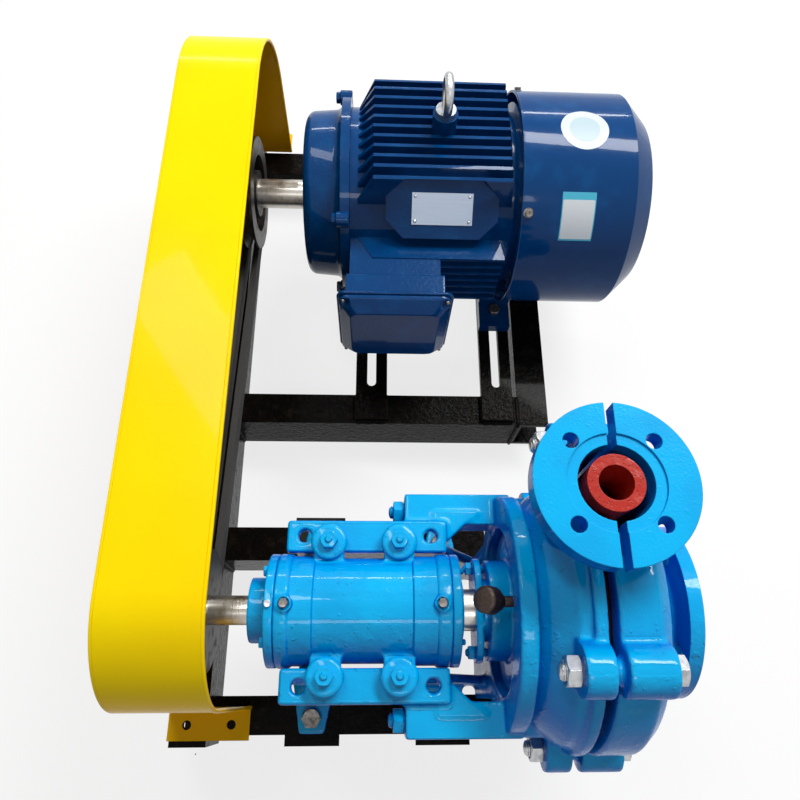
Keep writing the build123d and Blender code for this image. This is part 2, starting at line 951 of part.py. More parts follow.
with BuildPart() as grease_cup_body:
    add(slug(cup_elbow_x, ring_x + ring_t - 2 * loose, cup_pipe_r - running, z=cup_z))
    with Locations((cup_elbow_x, 0, cup_z)):
        Sphere(cup_elbow_r)
    with BuildSketch(cup_plane):
        Circle(cup_body_r)
    extrude(amount=cup_neck + cap_length - cap_wall)
grease_cup_body.part.label = "grease_cup_body"
export_step(grease_cup_body.part, "parts/grease_cup_body.step")

with BuildPart() as grease_cup_cap:
    with BuildSketch(cup_plane.offset(cup_neck)):
        Circle(cap_r)
    extrude(amount=cap_length)
    with BuildSketch(cup_plane.offset(cup_neck)):
        Circle(cup_body_r + running)
    extrude(amount=cap_length - cap_wall, mode=Mode.SUBTRACT)
grease_cup_cap.part.label = "grease_cup_cap"
export_step(grease_cup_cap.part, "parts/grease_cup_cap.step")

# Casing in two halves, with a red-painted volute liner held between them
frame_face_x = discharge_x - split_gap / 2
cover_face_x = discharge_x + split_gap / 2
frame_back_x = ring_x + ring_t
shell_r = liner_r + casing_wall
cavity_r = liner_r + liner_clearance
box_seat_x = box_inner_x
cover_inner_x = discharge_x + liner_half_width + liner_clearance
neck_half_x = 42
neck_half_y = 44
neck_rim = 7
neck_start_z = 40
neck_top_z = discharge_z - discharge_flange_t
neck_fillet = 16
shoulder_r = 97
suction_neck_start_x = -28
throat_tube_r = 33
suction_face_x = 0
top_bolt_z = 80
bolt_circle_r = 134
bolt_angles = (117, 199, 270, 330)
frame_boss_length = 26
cover_boss_length = 42
collar_r = 11
stud_lug_r = 16
rim_band_w = 9
rim_band_r = 124
stud_depth = 12
spot_face_r = casing_bolt_d * head_flats_share / 2 / cos(pi / 6) + loose
spot_depth = 24
boss_overlap = 2
neck_bolt_y = discharge_y + neck_half_y + boss_r - boss_overlap
bolt_places = tuple(
    (bolt_circle_r * cos(radians(angle)), bolt_circle_r * sin(radians(angle))) for angle in bolt_angles
) + ((neck_bolt_y, top_bolt_z),)

frame_outline = (
    (frame_back_x, stuffing_opening_r),
    (frame_back_x, shoulder_r),
    (frame_back_x + casing_back_wall, shoulder_r + casing_wall),
    (frame_face_x - 3 * rim_width / 2 - rim_band_w, shell_r),
    (frame_face_x - rim_width - rim_band_w, rim_band_r),
    (frame_face_x - rim_width, rim_band_r),
    (frame_face_x - rim_width, rim_r),
    (frame_face_x, rim_r),
    (frame_face_x, cavity_r),
    (box_seat_x, cavity_r),
    (box_seat_x, stuffing_opening_r),
)
cone_start_x = -58
cone_mid_x = -46
cone_mid_r = 120
cone_end_x = -31
cone_end_r = 88
cover_outline = (
    (cover_face_x, cavity_r),
    (cover_face_x, rim_r),
    (cone_start_x, rim_r),
    (cone_mid_x, cone_mid_r),
    (cone_end_x, cone_end_r),
    (suction_neck_start_x, suction_neck_r),
    (suction_face_x - suction_flange_t, suction_neck_r),
    (suction_face_x - suction_flange_t, suction_od / 2),
    (suction_face_x, suction_od / 2),
    (suction_face_x, throat_tube_r + liner_clearance),
    (cover_inner_x, throat_tube_r + liner_clearance),
    (cover_inner_x, cavity_r),
)


def discharge_neck():
    """The upright neck and round flange, before they are split in two."""
    with BuildPart() as body:
        with BuildSketch(Plane.XY.offset(neck_start_z)):
            with Locations((discharge_x, discharge_y)):
                RectangleRounded(2 * neck_half_x, 2 * neck_half_y, neck_fillet)
                Rectangle(2 * rim_width + split_gap, 2 * (neck_half_y + neck_rim))
        extrude(amount=neck_top_z - neck_start_z)
        add(post(discharge_x, discharge_y, neck_top_z, discharge_z, discharge_od / 2))
    return body.part


def bolt_boss(x0, x1, y, z, r):
    """A casing bolt's boss, tied to the rim by a web."""
    with BuildPart() as body:
        add(slug(x0, x1, r, y=y, z=z))
        add(plate(((0, -r), (-r, -r), (-r, r), (0, r)), boss_plane(x0, y, z), x1 - x0))
    return body.part


def boss_plane(x, y, z):
    """A plane on a boss's end, with its local X pointing away from the casing."""
    centre_y = discharge_y if z == top_bolt_z else 0
    centre_z = z if z == top_bolt_z else 0
    return Plane(origin=(x, y, z), x_dir=(0, y - centre_y, z - centre_z), z_dir=(1, 0, 0))


def casing_half(outline, face_x, outer_x, boss_length, away):
    """One casing half: bowl, half neck, half flange and bolt bosses, hollowed for the liner."""
    with BuildPart() as body:
        add(turned(outline))
        with BuildPart(mode=Mode.PRIVATE) as half_neck:
            add(discharge_neck())
            reach = discharge_od
            add(
                block(
                    face_x,
                    face_x - away * 2 * reach,
                    discharge_y - reach,
                    discharge_y + reach,
                    0,
                    2 * discharge_z,
                ),
                mode=Mode.SUBTRACT,
            )
        add(half_neck.part)
        for y, z in bolt_places:
            add(
                bolt_boss(
                    min(face_x, face_x + away * boss_length),
                    max(face_x, face_x + away * boss_length),
                    y,
                    z,
                    boss_r,
                ),
            )
        add(slug(min(face_x, outer_x), max(face_x, outer_x), cavity_r), mode=Mode.SUBTRACT)
        add(
            post(discharge_x, discharge_y, 0, discharge_z + overrun, discharge_opening_d / 2),
            mode=Mode.SUBTRACT,
        )
        add(
            post(
                discharge_x,
                discharge_y,
                discharge_z - discharge_recess_depth,
                discharge_z + overrun,
                discharge_recess_d / 2,
            ),
            mode=Mode.SUBTRACT,
        )
        with Locations(Plane.XY.offset(neck_top_z)):
            with Locations((discharge_x, discharge_y)):
                with PolarLocations(discharge_circle_d / 2, flange_hole_count, start_angle=first_hole_angle):
                    Cylinder(discharge_hole_d / 2, 3 * discharge_flange_t, mode=Mode.SUBTRACT)
        for y, z in bolt_places:
            start = face_x - away * overrun
            end = face_x + away * (boss_length + overrun)
            add(slug(min(start, end), max(start, end), casing_bolt_d / 2, y=y, z=z), mode=Mode.SUBTRACT)
            spot_end = end + away * spot_depth
            seat = face_x + away * boss_length
            add(slug(min(seat, spot_end), max(seat, spot_end), spot_face_r, y=y, z=z), mode=Mode.SUBTRACT)
    return body.part


with BuildPart() as frame_plate:
    add(casing_half(frame_outline, frame_face_x, box_seat_x, frame_boss_length, -1))
    for y in both_sides(stud_y):
        add(slug(frame_back_x, box_seat_x, stud_lug_r, y=y, z=stud_z))
        add(
            slug(frame_back_x - overrun, frame_back_x + stud_depth, stud_d / 2, y=y, z=stud_z),
            mode=Mode.SUBTRACT,
        )
frame_plate.part.label = "frame_plate"
export_step(frame_plate.part, "parts/frame_plate.step")

with BuildPart() as cover_plate:
    add(casing_half(cover_outline, cover_face_x, cover_inner_x, cover_boss_length, 1))
    for y, z in bolt_places:
        add(slug(frame_face_x, cover_face_x, collar_r, casing_bolt_d / 2, y=y, z=z))
    with Locations(Plane.YZ.offset(suction_face_x)):
        with PolarLocations(suction_circle_d / 2, flange_hole_count, start_angle=first_hole_angle):
            Cylinder(suction_hole_d / 2, 4 * suction_flange_t, mode=Mode.SUBTRACT)
cover_plate.part.label = "cover_plate"
export_step(cover_plate.part, "parts/cover_plate.step")

casing_nut_x = frame_face_x - frame_boss_length
casing_head_x = cover_face_x + cover_boss_length
casing_bolt_length = casing_head_x - casing_nut_x + casing_bolt_d * (nut_height_share + stud_end_share)
with BuildPart() as casing_bolts:
    for y, z in bolt_places:
        add(hex_bolt((casing_head_x, y, z), (1, 0, 0), casing_bolt_d, casing_bolt_length))
    for y, z in bolt_places:
        add(hex_nut((casing_nut_x, y, z), (-1, 0, 0), casing_bolt_d))
casing_bolts.part.label = "casing_bolts"
export_step(casing_bolts.part, "parts/casing_bolts.step")

# Studs that hold the frame plate to the ring of the base
stud_start_x = arm_start_x - stud_d * (nut_height_share + stud_end_share)
with BuildPart() as frame_studs:
    for y in both_sides(stud_y):
        add(slug(stud_start_x, frame_back_x + stud_depth - loose, stud_d / 2 - running, y=y, z=stud_z))
    for y in both_sides(stud_y):
        add(hex_nut((arm_start_x, y, stud_z), (-1, 0, 0), stud_d))
frame_studs.part.label = "frame_studs"
export_step(frame_studs.part, "parts/frame_studs.step")

# Liner, inserts and throatbush
liner_back_x = discharge_x - liner_half_width
liner_front_x = discharge_x + liner_half_width
liner_neck_top_z = discharge_z - discharge_recess_depth
liner_cavity_r = liner_r - liner_wall
with BuildPart() as volute_liner:
    add(slug(liner_back_x, liner_front_x, liner_r, insert_r))
    add(post(discharge_x, discharge_y, neck_start_z, liner_neck_top_z, liner_neck_d / 2))
    add(slug(liner_back_x + insert_t, liner_front_x - insert_t, liner_cavity_r), mode=Mode.SUBTRACT)
    add(slug(liner_back_x - overrun, liner_front_x + overrun, insert_r), mode=Mode.SUBTRACT)
    add(
        post(discharge_x, discharge_y, liner_bore, liner_neck_top_z + overrun, liner_bore / 2),
        mode=Mode.SUBTRACT,
    )
volute_liner.part.label = "volute_liner"
export_step(volute_liner.part, "parts/volute_liner.step")

with BuildPart() as frame_plate_insert:
    add(slug(liner_back_x, liner_back_x + insert_t, insert_r - running, sleeve_r + loose))
frame_plate_insert.part.label = "frame_plate_insert"
export_step(frame_plate_insert.part, "parts/frame_plate_insert.step")

with BuildPart() as throatbush:
    add(slug(liner_front_x - insert_t, liner_front_x, insert_r - running))
    add(slug(liner_front_x, suction_face_x, throat_tube_r))
    add(
        slug(liner_front_x - insert_t - overrun, suction_face_x + overrun, suction_bore / 2),
        mode=Mode.SUBTRACT,
    )
throatbush.part.label = "throatbush"
export_step(throatbush.part, "parts/throatbush.step")

# Pulleys and belts
groove_relief = 1
groove_depth = belt_h + groove_relief
pitch_drop = 2.75
groove_top_share = 1.05
belt_bottom_share = 0.62
motor_shaft_end_x = motor_foot_x - foot_to_shoulder - motor_shaft_length
pulley_web_t = 14
pulley_rim_t = 9
pulley_hub_r = 30
groove_xs = tuple(pulley_face_x - groove_edge - k * groove_pitch for k in range(groove_count))


def grooved_outline(pitch_r, bore_r):
    """Half section of a V-belt pulley, grooves outward."""
    top_r = pitch_r + pitch_drop
    half_top = belt_top_w * groove_top_share / 2
    half_bottom = half_top * belt_bottom_share
    points = [(pulley_face_x, bore_r), (pulley_face_x, top_r)]
    for x in groove_xs:
        points += [
            (x + half_top, top_r),
            (x + half_bottom, top_r - groove_depth),
            (x - half_bottom, top_r - groove_depth),
            (x - half_top, top_r),
        ]
    points += [(pulley_end_x, top_r), (pulley_end_x, bore_r)]
    return points


def web_recess(pitch_r, face_x, out, y=0, z=0):
    """The ring-shaped recess in a pulley's face."""
    depth = (pump_pulley_width - pulley_web_t) / 2
    ends = sorted((face_x, face_x - out * depth))
    return slug(ends[0], ends[1], pitch_r - groove_depth - pulley_rim_t, pulley_hub_r, y, z)


with BuildPart() as pump_pulley:
    add(turned(grooved_outline(pump_pitch_d / 2, shaft_d / 2 + running)))
    add(
        block(
            pulley_end_x - overrun,
            pulley_face_x + overrun,
            -key_w / 2,
            key_w / 2,
            0,
            key_seat_z + key_h + loose,
        ),
        mode=Mode.SUBTRACT,
    )
pump_pulley.part.label = "pump_pulley"
export_step(pump_pulley.part, "parts/pump_pulley.step")

motor_key_w = 10
motor_key_h = 8
motor_key_seat = 5
motor_key_z = motor_shaft_d / 2 - motor_key_seat
with BuildPart() as motor_pulley:
    add(turned(grooved_outline(motor_pitch_d / 2, motor_shaft_d / 2 + running), motor_y, motor_z))
    add(web_recess(motor_pitch_d / 2, pulley_face_x, 1, motor_y, motor_z), mode=Mode.SUBTRACT)
    add(web_recess(motor_pitch_d / 2, pulley_end_x, -1, motor_y, motor_z), mode=Mode.SUBTRACT)
    add(
        block(
            pulley_end_x - overrun,
            pulley_face_x + overrun,
            motor_y - motor_key_w / 2,
            motor_y + motor_key_w / 2,
            motor_z,
            motor_z + motor_key_z + motor_key_h + loose,
        ),
        mode=Mode.SUBTRACT,
    )
motor_pulley.part.label = "motor_pulley"
export_step(motor_pulley.part, "parts/motor_pulley.step")

centre_distance = hypot(motor_y, motor_z)
line_angle = atan2(motor_z, motor_y)


def rim_point(pulley_y, pulley_z, radius, angle):
    """A point on a pulley's rim, in the YZ plane."""
    return (pulley_y + radius * cos(angle), pulley_z + radius * sin(angle))


def lean_angle(difference):
    """The lean of the belt's straight runs, from the difference of the two radii."""
    return atan2(difference, (centre_distance**2 - difference**2) ** (1 / 2))


def belt(x):
    """One V-belt round both pulleys: its section swept along two tangents and two arcs."""
    r_pump = pump_pitch_d / 2 + loose
    r_motor = motor_pitch_d / 2 + loose
    lean = pi / 2 + lean_angle(r_motor - r_pump)
    top = line_angle + lean
    bottom = line_angle - lean
    with BuildPart() as body:
        with BuildLine(Plane.YZ.offset(x)) as path:
            upper = Line(rim_point(0, 0, r_pump, top), rim_point(motor_y, motor_z, r_motor, top))
            far = ThreePointArc(
                rim_point(motor_y, motor_z, r_motor, top),
                rim_point(motor_y, motor_z, r_motor, line_angle),
                rim_point(motor_y, motor_z, r_motor, bottom),
            )
            lower = Line(rim_point(motor_y, motor_z, r_motor, bottom), rim_point(0, 0, r_pump, bottom))
            near = ThreePointArc(
                rim_point(0, 0, r_pump, bottom),
                rim_point(0, 0, r_pump, line_angle + pi),
                rim_point(0, 0, r_pump, top),
            )
        with BuildSketch(Plane(origin=path.line @ 0, x_dir=(1, 0, 0), z_dir=path.line % 0)):
            with BuildLine():
                half_top = belt_top_w / 2 - loose
                half_bottom = half_top * belt_bottom_share
                Polyline(
                    (-half_top, -pitch_drop),
                    (half_top, -pitch_drop),
                    (half_bottom, belt_h - pitch_drop),
                    (-half_bottom, belt_h - pitch_drop),
                    close=True,
                )
            make_face()
        sweep(path=path.line)
    return body.part


with BuildPart() as drive_belts:
    for x in groove_xs:
        add(belt(x))
drive_belts.part.label = "drive_belts"
export_step(drive_belts.part, "parts/drive_belts.step")

# Guard: a hood of folded sheet, with its side plate and two feet


def hood_outline(inset):
    """The hood's side outline, in the YZ plane, inset by the sheet's thickness."""
    front = guard_front_y + inset
    back = guard_back_y - inset
    top = guard_top_z - inset
    front_r = guard_front_r - inset
    back_r = guard_back_r - inset
    with BuildSketch() as face:
        with BuildLine():
            Line((front, rail_top_z), (front, top - front_r))
            RadiusArc((front, top - front_r), (front + front_r, top), front_r)
            Line((front + front_r, top), (back - back_r, top))
            RadiusArc((back - back_r, top), (back, top - back_r), back_r)
            Line((back, top - back_r), (back, rail_top_z))
            Line((back, rail_top_z), (front, rail_top_z))
        make_face()
    return face.sketch


with BuildPart() as guard_band:
    with BuildSketch(Plane.YZ.offset(guard_left_x + sheet_t)):
        add(hood_outline(0))
        add(hood_outline(sheet_t), mode=Mode.SUBTRACT)
    extrude(amount=guard_right_x - guard_left_x - sheet_t)
guard_band.part.label = "guard_band"
export_step(guard_band.part, "parts/guard_band.step")

with BuildPart() as guard_side_plate:
    with BuildSketch(Plane.YZ.offset(guard_left_x)):
        add(hood_outline(0))
    extrude(amount=sheet_t)
guard_side_plate.part.label = "guard_side_plate"
export_step(guard_side_plate.part, "parts/guard_side_plate.step")

with BuildPart() as guard_feet:
    with BuildSketch(Plane.XY.offset(rail_top_z)):
        for y in (guard_front_y - tab_depth / 2, guard_back_y + tab_depth / 2):
            with Locations(((guard_left_x + guard_right_x) / 2, y)):
                Rectangle(guard_right_x - guard_left_x, tab_depth)
                with GridLocations(tab_hole_spacing, 0, 2, 1):
                    Circle(tab_hole_d / 2, mode=Mode.SUBTRACT)
    extrude(amount=sheet_t)
guard_feet.part.label = "guard_feet"
export_step(guard_feet.part, "parts/guard_feet.step")

# Motor
foot_setback = 29
frame_x0 = motor_foot_x - foot_setback
frame_x1 = frame_x0 + frame_length
shoulder_x = motor_foot_x - foot_to_shoulder
frame_bore_r = 98
shield_r = cover_r - cover_gap
fin_pitch = 15
top_fin_count = 11
side_fin_count = 7
fin_end_gap = 10
foot_plate_t = 15
foot_block_w = 44
foot_outer_reach = 134
leg_inner_y = 62
pad_w = 72
pad_length = 138
pad_x = -218
pad_reach = 121
pad_corner = 22
pad_depth = 30
eyebolt_x = -218
eyebolt_d = 10
eyebolt_boss_r = 15
eyebolt_boss_z = 152
box_x = -274
box_neck_w = 112
box_neck_h = 92
box_neck_y = -162
cap_depth = 4
bearing_cap_x = shoulder_x + cap_depth


def motor_slug(x0, x1, outer_r, inner_r=0):
    """A round bar or ring on the motor's axis."""
    return slug(x0, x1, outer_r, inner_r, motor_y, motor_z)


def motor_turned(outline):
    """A body turned about the motor's axis."""
    return turned(outline, motor_y, motor_z)


pad_outline = tuple(
    (a * (pad_length / 2 - cut_a), b * (pad_w / 2 - cut_b))
    for a, b, cut_a, cut_b in (
        (-1, 1, pad_corner, 0),
        (1, 1, pad_corner, 0),
        (1, 1, 0, pad_corner),
        (1, -1, 0, pad_corner),
        (1, -1, pad_corner, 0),
        (-1, -1, pad_corner, 0),
        (-1, -1, 0, pad_corner),
        (-1, 1, 0, pad_corner),
    )
)

nameplate_plane = Plane(
    origin=(pad_x, motor_y - pad_reach * cos(pi / 4), motor_z + pad_reach * sin(pi / 4)),
    x_dir=(1, 0, 0),
    z_dir=(0, -1, 1),
)

with BuildPart() as motor_frame:
    with BuildSketch(Plane.YZ.offset(frame_x0 + fin_end_gap)):
        with Locations((motor_y, motor_z)):
            Circle(barrel_r)
            with GridLocations(fin_pitch, 0, top_fin_count, 1):
                Rectangle(fin_t, 2 * fin_r)
            with GridLocations(0, fin_pitch, 1, side_fin_count):
                Rectangle(2 * fin_r, fin_t)
            RectangleRounded(2 * fin_r, 2 * fin_r, fin_corner_r, mode=Mode.INTERSECT)
        with Locations((motor_y, motor_z - barrel_r)):
            Rectangle(2 * barrel_r, 2 * fin_foot_h, mode=Mode.SUBTRACT)
        with Locations((motor_y, motor_z)):
            Circle(barrel_r)
    extrude(amount=frame_length - 2 * fin_end_gap)
    add(motor_slug(frame_x0, frame_x1, barrel_r))
    for x in (motor_foot_x, motor_foot_x + foot_span_x):
        for side in (-1, 1):
            near = motor_y + side * leg_inner_y
            far = motor_y + side * foot_outer_reach
            bolt_x0 = x - foot_block_w / 2
            bolt_x1 = x + foot_block_w / 2
            foot_z = motor_z - motor_height
            add(block(bolt_x0, bolt_x1, near, far, foot_z, foot_z + foot_plate_t))
            leg_far = motor_y + side * (foot_span_y / 2 - motor_hole_d)
            add(block(bolt_x0, bolt_x1, near, leg_far, foot_z, motor_z - barrel_r / 2))
    for amount, mode in ((-pad_depth, Mode.ADD), (pad_depth, Mode.SUBTRACT)):
        with BuildSketch(nameplate_plane):
            with BuildLine():
                Polyline(*pad_outline, close=True)
            make_face()
        extrude(amount=amount, mode=mode)
    add(post(eyebolt_x, motor_y, motor_z + barrel_r - overrun, motor_z + eyebolt_boss_z, eyebolt_boss_r))
    add(
        block(
            box_x - box_neck_w / 2,
            box_x + box_neck_w / 2,
            motor_y + box_neck_y,
            motor_y - barrel_r / 2,
            motor_z - box_neck_h / 2,
            motor_z + box_neck_h / 2,
        )
    )
    add(motor_slug(frame_x0 - overrun, frame_x1 + overrun, frame_bore_r), mode=Mode.SUBTRACT)
    add(motor_slug(frame_x1, frame_x1 + foot_block_w, shield_r + loose), mode=Mode.SUBTRACT)
    add(
        post(
            eyebolt_x,
            motor_y,
            motor_z + eyebolt_boss_z - 2 * eyebolt_d,
            motor_z + eyebolt_boss_z + overrun,
            eyebolt_d / 2,
        ),
        mode=Mode.SUBTRACT,
    )
    for x in (motor_foot_x, motor_foot_x + foot_span_x):
        for side in (-1, 1):
            add(
                post(
                    x,
                    motor_y + side * foot_span_y / 2,
                    motor_z - motor_height - overrun,
                    motor_z - motor_height + foot_plate_t + overrun,
                    motor_hole_d / 2,
                ),
                mode=Mode.SUBTRACT,
            )
motor_frame.part.label = "motor_frame"
export_step(motor_frame.part, "parts/motor_frame.step")

# End shields, each with a bearing seat
motor_bearing_od = 80
motor_bearing_bore = 40
motor_bearing_width = 18
shield_spigot = 5
shield_t = 12
drive_shield_x = frame_x0 - shield_t
drive_cap_r = 62
shield_wall = 7
hub_in_r = motor_bearing_od / 2 + shield_wall
shaft_relief_r = motor_shaft_d / 2 + 2 * loose

with BuildPart() as drive_end_shield:
    add(
        motor_turned(
            (
                (shoulder_x, shaft_relief_r),
                (shoulder_x, drive_cap_r - shield_t),
                (bearing_cap_x, drive_cap_r),
                (bearing_cap_x + shield_t, drive_cap_r),
                (drive_shield_x - shield_t, barrel_r - shield_t),
                (drive_shield_x, shield_r),
                (frame_x0, shield_r),
                (frame_x0, frame_bore_r - running),
                (frame_x0 + shield_spigot, frame_bore_r - running),
                (frame_x0 + shield_spigot, frame_bore_r - shield_wall),
                (drive_shield_x, frame_bore_r - shield_wall),
                (bearing_cap_x + shield_wall + motor_bearing_width, hub_in_r),
                (bearing_cap_x + shield_wall + motor_bearing_width, motor_bearing_od / 2 + running),
                (bearing_cap_x + shield_wall, motor_bearing_od / 2 + running),
                (bearing_cap_x + shield_wall, shaft_relief_r),
            )
        )
    )
drive_end_shield.part.label = "drive_end_shield"
export_step(drive_end_shield.part, "parts/drive_end_shield.step")

fan_shield_depth = 34
with BuildPart() as fan_end_shield:
    add(
        motor_turned(
            (
                (frame_x1 + fan_shield_depth, shaft_relief_r),
                (frame_x1 + fan_shield_depth, hub_in_r),
                (frame_x1 + shield_t, frame_bore_r),
                (frame_x1 + shield_t, shield_r),
                (frame_x1, shield_r),
                (frame_x1, frame_bore_r - running),
                (frame_x1 - shield_spigot, frame_bore_r - running),
                (frame_x1 - shield_spigot, frame_bore_r - shield_wall),
                (frame_x1, frame_bore_r - shield_wall),
                (frame_x1 + fan_shield_depth - shield_wall - motor_bearing_width, hub_in_r - loose),
                (
                    frame_x1 + fan_shield_depth - shield_wall - motor_bearing_width,
                    motor_bearing_od / 2 + running,
                ),
                (frame_x1 + fan_shield_depth - shield_wall, motor_bearing_od / 2 + running),
                (frame_x1 + fan_shield_depth - shield_wall, shaft_relief_r),
            )
        )
    )
fan_end_shield.part.label = "fan_end_shield"
export_step(fan_end_shield.part, "parts/fan_end_shield.step")

# Shaft, core, fan
core_r = 62
air_gap = 0.5
core_length = 120
core_x0 = (frame_x0 + frame_x1 - core_length) / 2
winding_length = 24
winding_r = 92
drive_bearing_x = bearing_cap_x + shield_wall
fan_bearing_x = frame_x1 + fan_shield_depth - shield_wall - motor_bearing_width
fan_gap = 8
fan_x = frame_x1 + fan_shield_depth + fan_gap
fan_hub_length = 22
fan_r = 108
fan_hub_r = 28
fan_disc_t = 4
fan_blade_t = 4
fan_blade_count = 6
fan_blade_w = 36
fan_shaft_d = 32

with BuildPart() as motor_shaft:
    add(
        motor_turned(
            (
                (motor_shaft_end_x, 0),
                (motor_shaft_end_x, motor_shaft_d / 2),
                (drive_bearing_x, motor_shaft_d / 2),
                (drive_bearing_x, motor_bearing_bore / 2),
                (drive_bearing_x + motor_bearing_width, motor_bearing_bore / 2),
                (drive_bearing_x + motor_bearing_width, shaft_mid_d / 2),
                (fan_bearing_x, shaft_mid_d / 2),
                (fan_bearing_x, motor_bearing_bore / 2),
                (fan_bearing_x + motor_bearing_width, motor_bearing_bore / 2),
                (fan_bearing_x + motor_bearing_width, fan_shaft_d / 2),
                (fan_x + fan_hub_length, fan_shaft_d / 2),
                (fan_x + fan_hub_length, 0),
            )
        )
    )
    add(
        block(
            pulley_end_x - running,
            shoulder_x - shield_t,
            motor_y - motor_key_w / 2,
            motor_y + motor_key_w / 2,
            motor_z + motor_key_z,
            motor_z + motor_shaft_d,
        ),
        mode=Mode.SUBTRACT,
    )
motor_shaft.part.label = "motor_shaft"
export_step(motor_shaft.part, "parts/motor_shaft.step")

with BuildPart() as motor_pulley_key:
    add(
        block(
            pulley_end_x,
            pulley_face_x,
            motor_y - motor_key_w / 2 + running,
            motor_y + motor_key_w / 2 - running,
            motor_z + motor_key_z,
            motor_z + motor_key_z + motor_key_h,
        )
    )
motor_pulley_key.part.label = "motor_pulley_key"
export_step(motor_pulley_key.part, "parts/motor_pulley_key.step")

with BuildPart() as rotor_core:
    add(motor_slug(core_x0, core_x0 + core_length, core_r, shaft_mid_d / 2 + running))
rotor_core.part.label = "rotor_core"
export_step(rotor_core.part, "parts/rotor_core.step")

with BuildPart() as stator:
    add(motor_slug(core_x0, core_x0 + core_length, frame_bore_r - running, core_r + air_gap))
    for x in (core_x0 - winding_length, core_x0 + core_length):
        add(motor_slug(x, x + winding_length, winding_r, core_r + 2 * winding_length / 3))
stator.part.label = "stator"
export_step(stator.part, "parts/stator.step")

motor_ball_count = 9
motor_ball_r = 6
with BuildPart() as motor_bearings:
    for x in (drive_bearing_x, fan_bearing_x):
        add(
            motor_slug(
                x,
                x + motor_bearing_width,
                motor_bearing_od / 2,
                (motor_bearing_od + motor_bearing_bore) / 4 + motor_ball_r,
            )
        )
motor_bearings.part.label = "motor_bearings"
export_step(motor_bearings.part, "parts/motor_bearings.step")

motor_inner_ring_r = (motor_bearing_od + motor_bearing_bore) / 4 - motor_ball_r
with BuildPart() as motor_bearing_cores:
    for x in (drive_bearing_x, fan_bearing_x):
        add(motor_slug(x, x + motor_bearing_width, motor_inner_ring_r, motor_bearing_bore / 2 + running))
        for k in range(motor_ball_count):
            angle = radians(k * full_turn / motor_ball_count)
            add(
                slug(
                    x + running,
                    x + motor_bearing_width - running,
                    motor_ball_r - running,
                    y=motor_y + (motor_inner_ring_r + motor_ball_r) * cos(angle),
                    z=motor_z + (motor_inner_ring_r + motor_ball_r) * sin(angle),
                )
            )
motor_bearing_cores.part.label = "motor_bearing_cores"
export_step(motor_bearing_cores.part, "parts/motor_bearing_cores.step")

with BuildPart() as cooling_fan:
    add(motor_slug(fan_x, fan_x + fan_hub_length, fan_hub_r))
    add(motor_slug(fan_x, fan_x + fan_disc_t, fan_r - fan_blade_w / 4))
    with BuildSketch(Plane.YZ.offset(fan_x)):
        with Locations((motor_y, motor_z)):
            with PolarLocations((fan_hub_r + fan_r) / 2, fan_blade_count):
                Rectangle(fan_r - fan_hub_r, fan_blade_t)
    extrude(amount=fan_blade_w)
    add(motor_slug(fan_x - overrun, fan_x + 2 * fan_blade_w, fan_shaft_d / 2 + running), mode=Mode.SUBTRACT)
cooling_fan.part.label = "cooling_fan"
export_step(cooling_fan.part, "parts/cooling_fan.step")

# Fan cover with its grille
cover_lap = 2
cover_x0 = frame_x1 - cover_lap
cover_x1 = cover_x0 + fan_cover_length
cover_cone_length = 28
cover_cone_x = cover_x1 - cover_cone_length
cover_rear_r = 110
grille_ring_pitch = 13
grille_ring_t = 3
grille_ring_count = 7
grille_spoke_t = 6
cover_notch_drop = 90

cover_screw_x = frame_x1 + shield_t / 2
fan_screw_r = 3
fan_screw_head_r = 6
fan_screw_head_h = 3
fan_screw_angles = (45, 135, 200, 340)


def radial_post(x, r0, r1, post_r, angle):
    """A short round bar that points away from the motor's axis."""
    out = (0, cos(radians(angle)), sin(radians(angle)))
    start = Plane(origin=(x, motor_y + r0 * out[1], motor_z + r0 * out[2]), z_dir=out)
    with BuildPart() as body:
        with BuildSketch(start):
            Circle(post_r)
        extrude(amount=r1 - r0)
    return body.part


with BuildPart() as fan_cover:
    add(
        motor_turned(
            (
                (cover_x0, cover_r - cover_t),
                (cover_x0, cover_r),
                (cover_cone_x, cover_r),
                (cover_x1, cover_rear_r),
                (cover_x1, grille_ring_count * grille_ring_pitch),
                (cover_x1 - cover_t, grille_ring_count * grille_ring_pitch),
                (cover_x1 - cover_t, cover_rear_r - cover_t),
                (cover_cone_x, cover_r - cover_t),
            )
        )
    )
    add(
        block(
            cover_x0 - overrun,
            motor_foot_x + foot_span_x + foot_block_w / 2 + cover_t,
            motor_y - cover_r,
            motor_y + cover_r,
            motor_z - cover_r - overrun,
            motor_z - cover_notch_drop,
        ),
        mode=Mode.SUBTRACT,
    )
    for angle in fan_screw_angles:
        add(radial_post(cover_screw_x, shield_r, cover_r + overrun, fan_screw_r, angle), mode=Mode.SUBTRACT)
    with BuildSketch(Plane.YZ.offset(cover_x1 - cover_t)):
        with Locations((motor_y, motor_z)):
            for k in range(1, grille_ring_count):
                Circle(k * grille_ring_pitch)
                Circle(k * grille_ring_pitch - grille_ring_t, mode=Mode.SUBTRACT)
                if k > 1:
                    Circle((k - 1) * grille_ring_pitch)
                    Circle((k - 1) * grille_ring_pitch - grille_ring_t, mode=Mode.SUBTRACT)
    extrude(amount=cover_t)
    with BuildSketch(Plane.YZ.offset(cover_x1 - cover_t)):
        with Locations((motor_y, motor_z)):
            with PolarLocations(0, 2):
                Rectangle(2 * grille_ring_count * grille_ring_pitch + grille_ring_t, grille_spoke_t)
            with PolarLocations(0, 2, start_angle=90):
                Rectangle(2 * grille_ring_count * grille_ring_pitch + grille_ring_t, grille_spoke_t)
    extrude(amount=cover_t)
fan_cover.part.label = "fan_cover"
export_step(fan_cover.part, "parts/fan_cover.step")

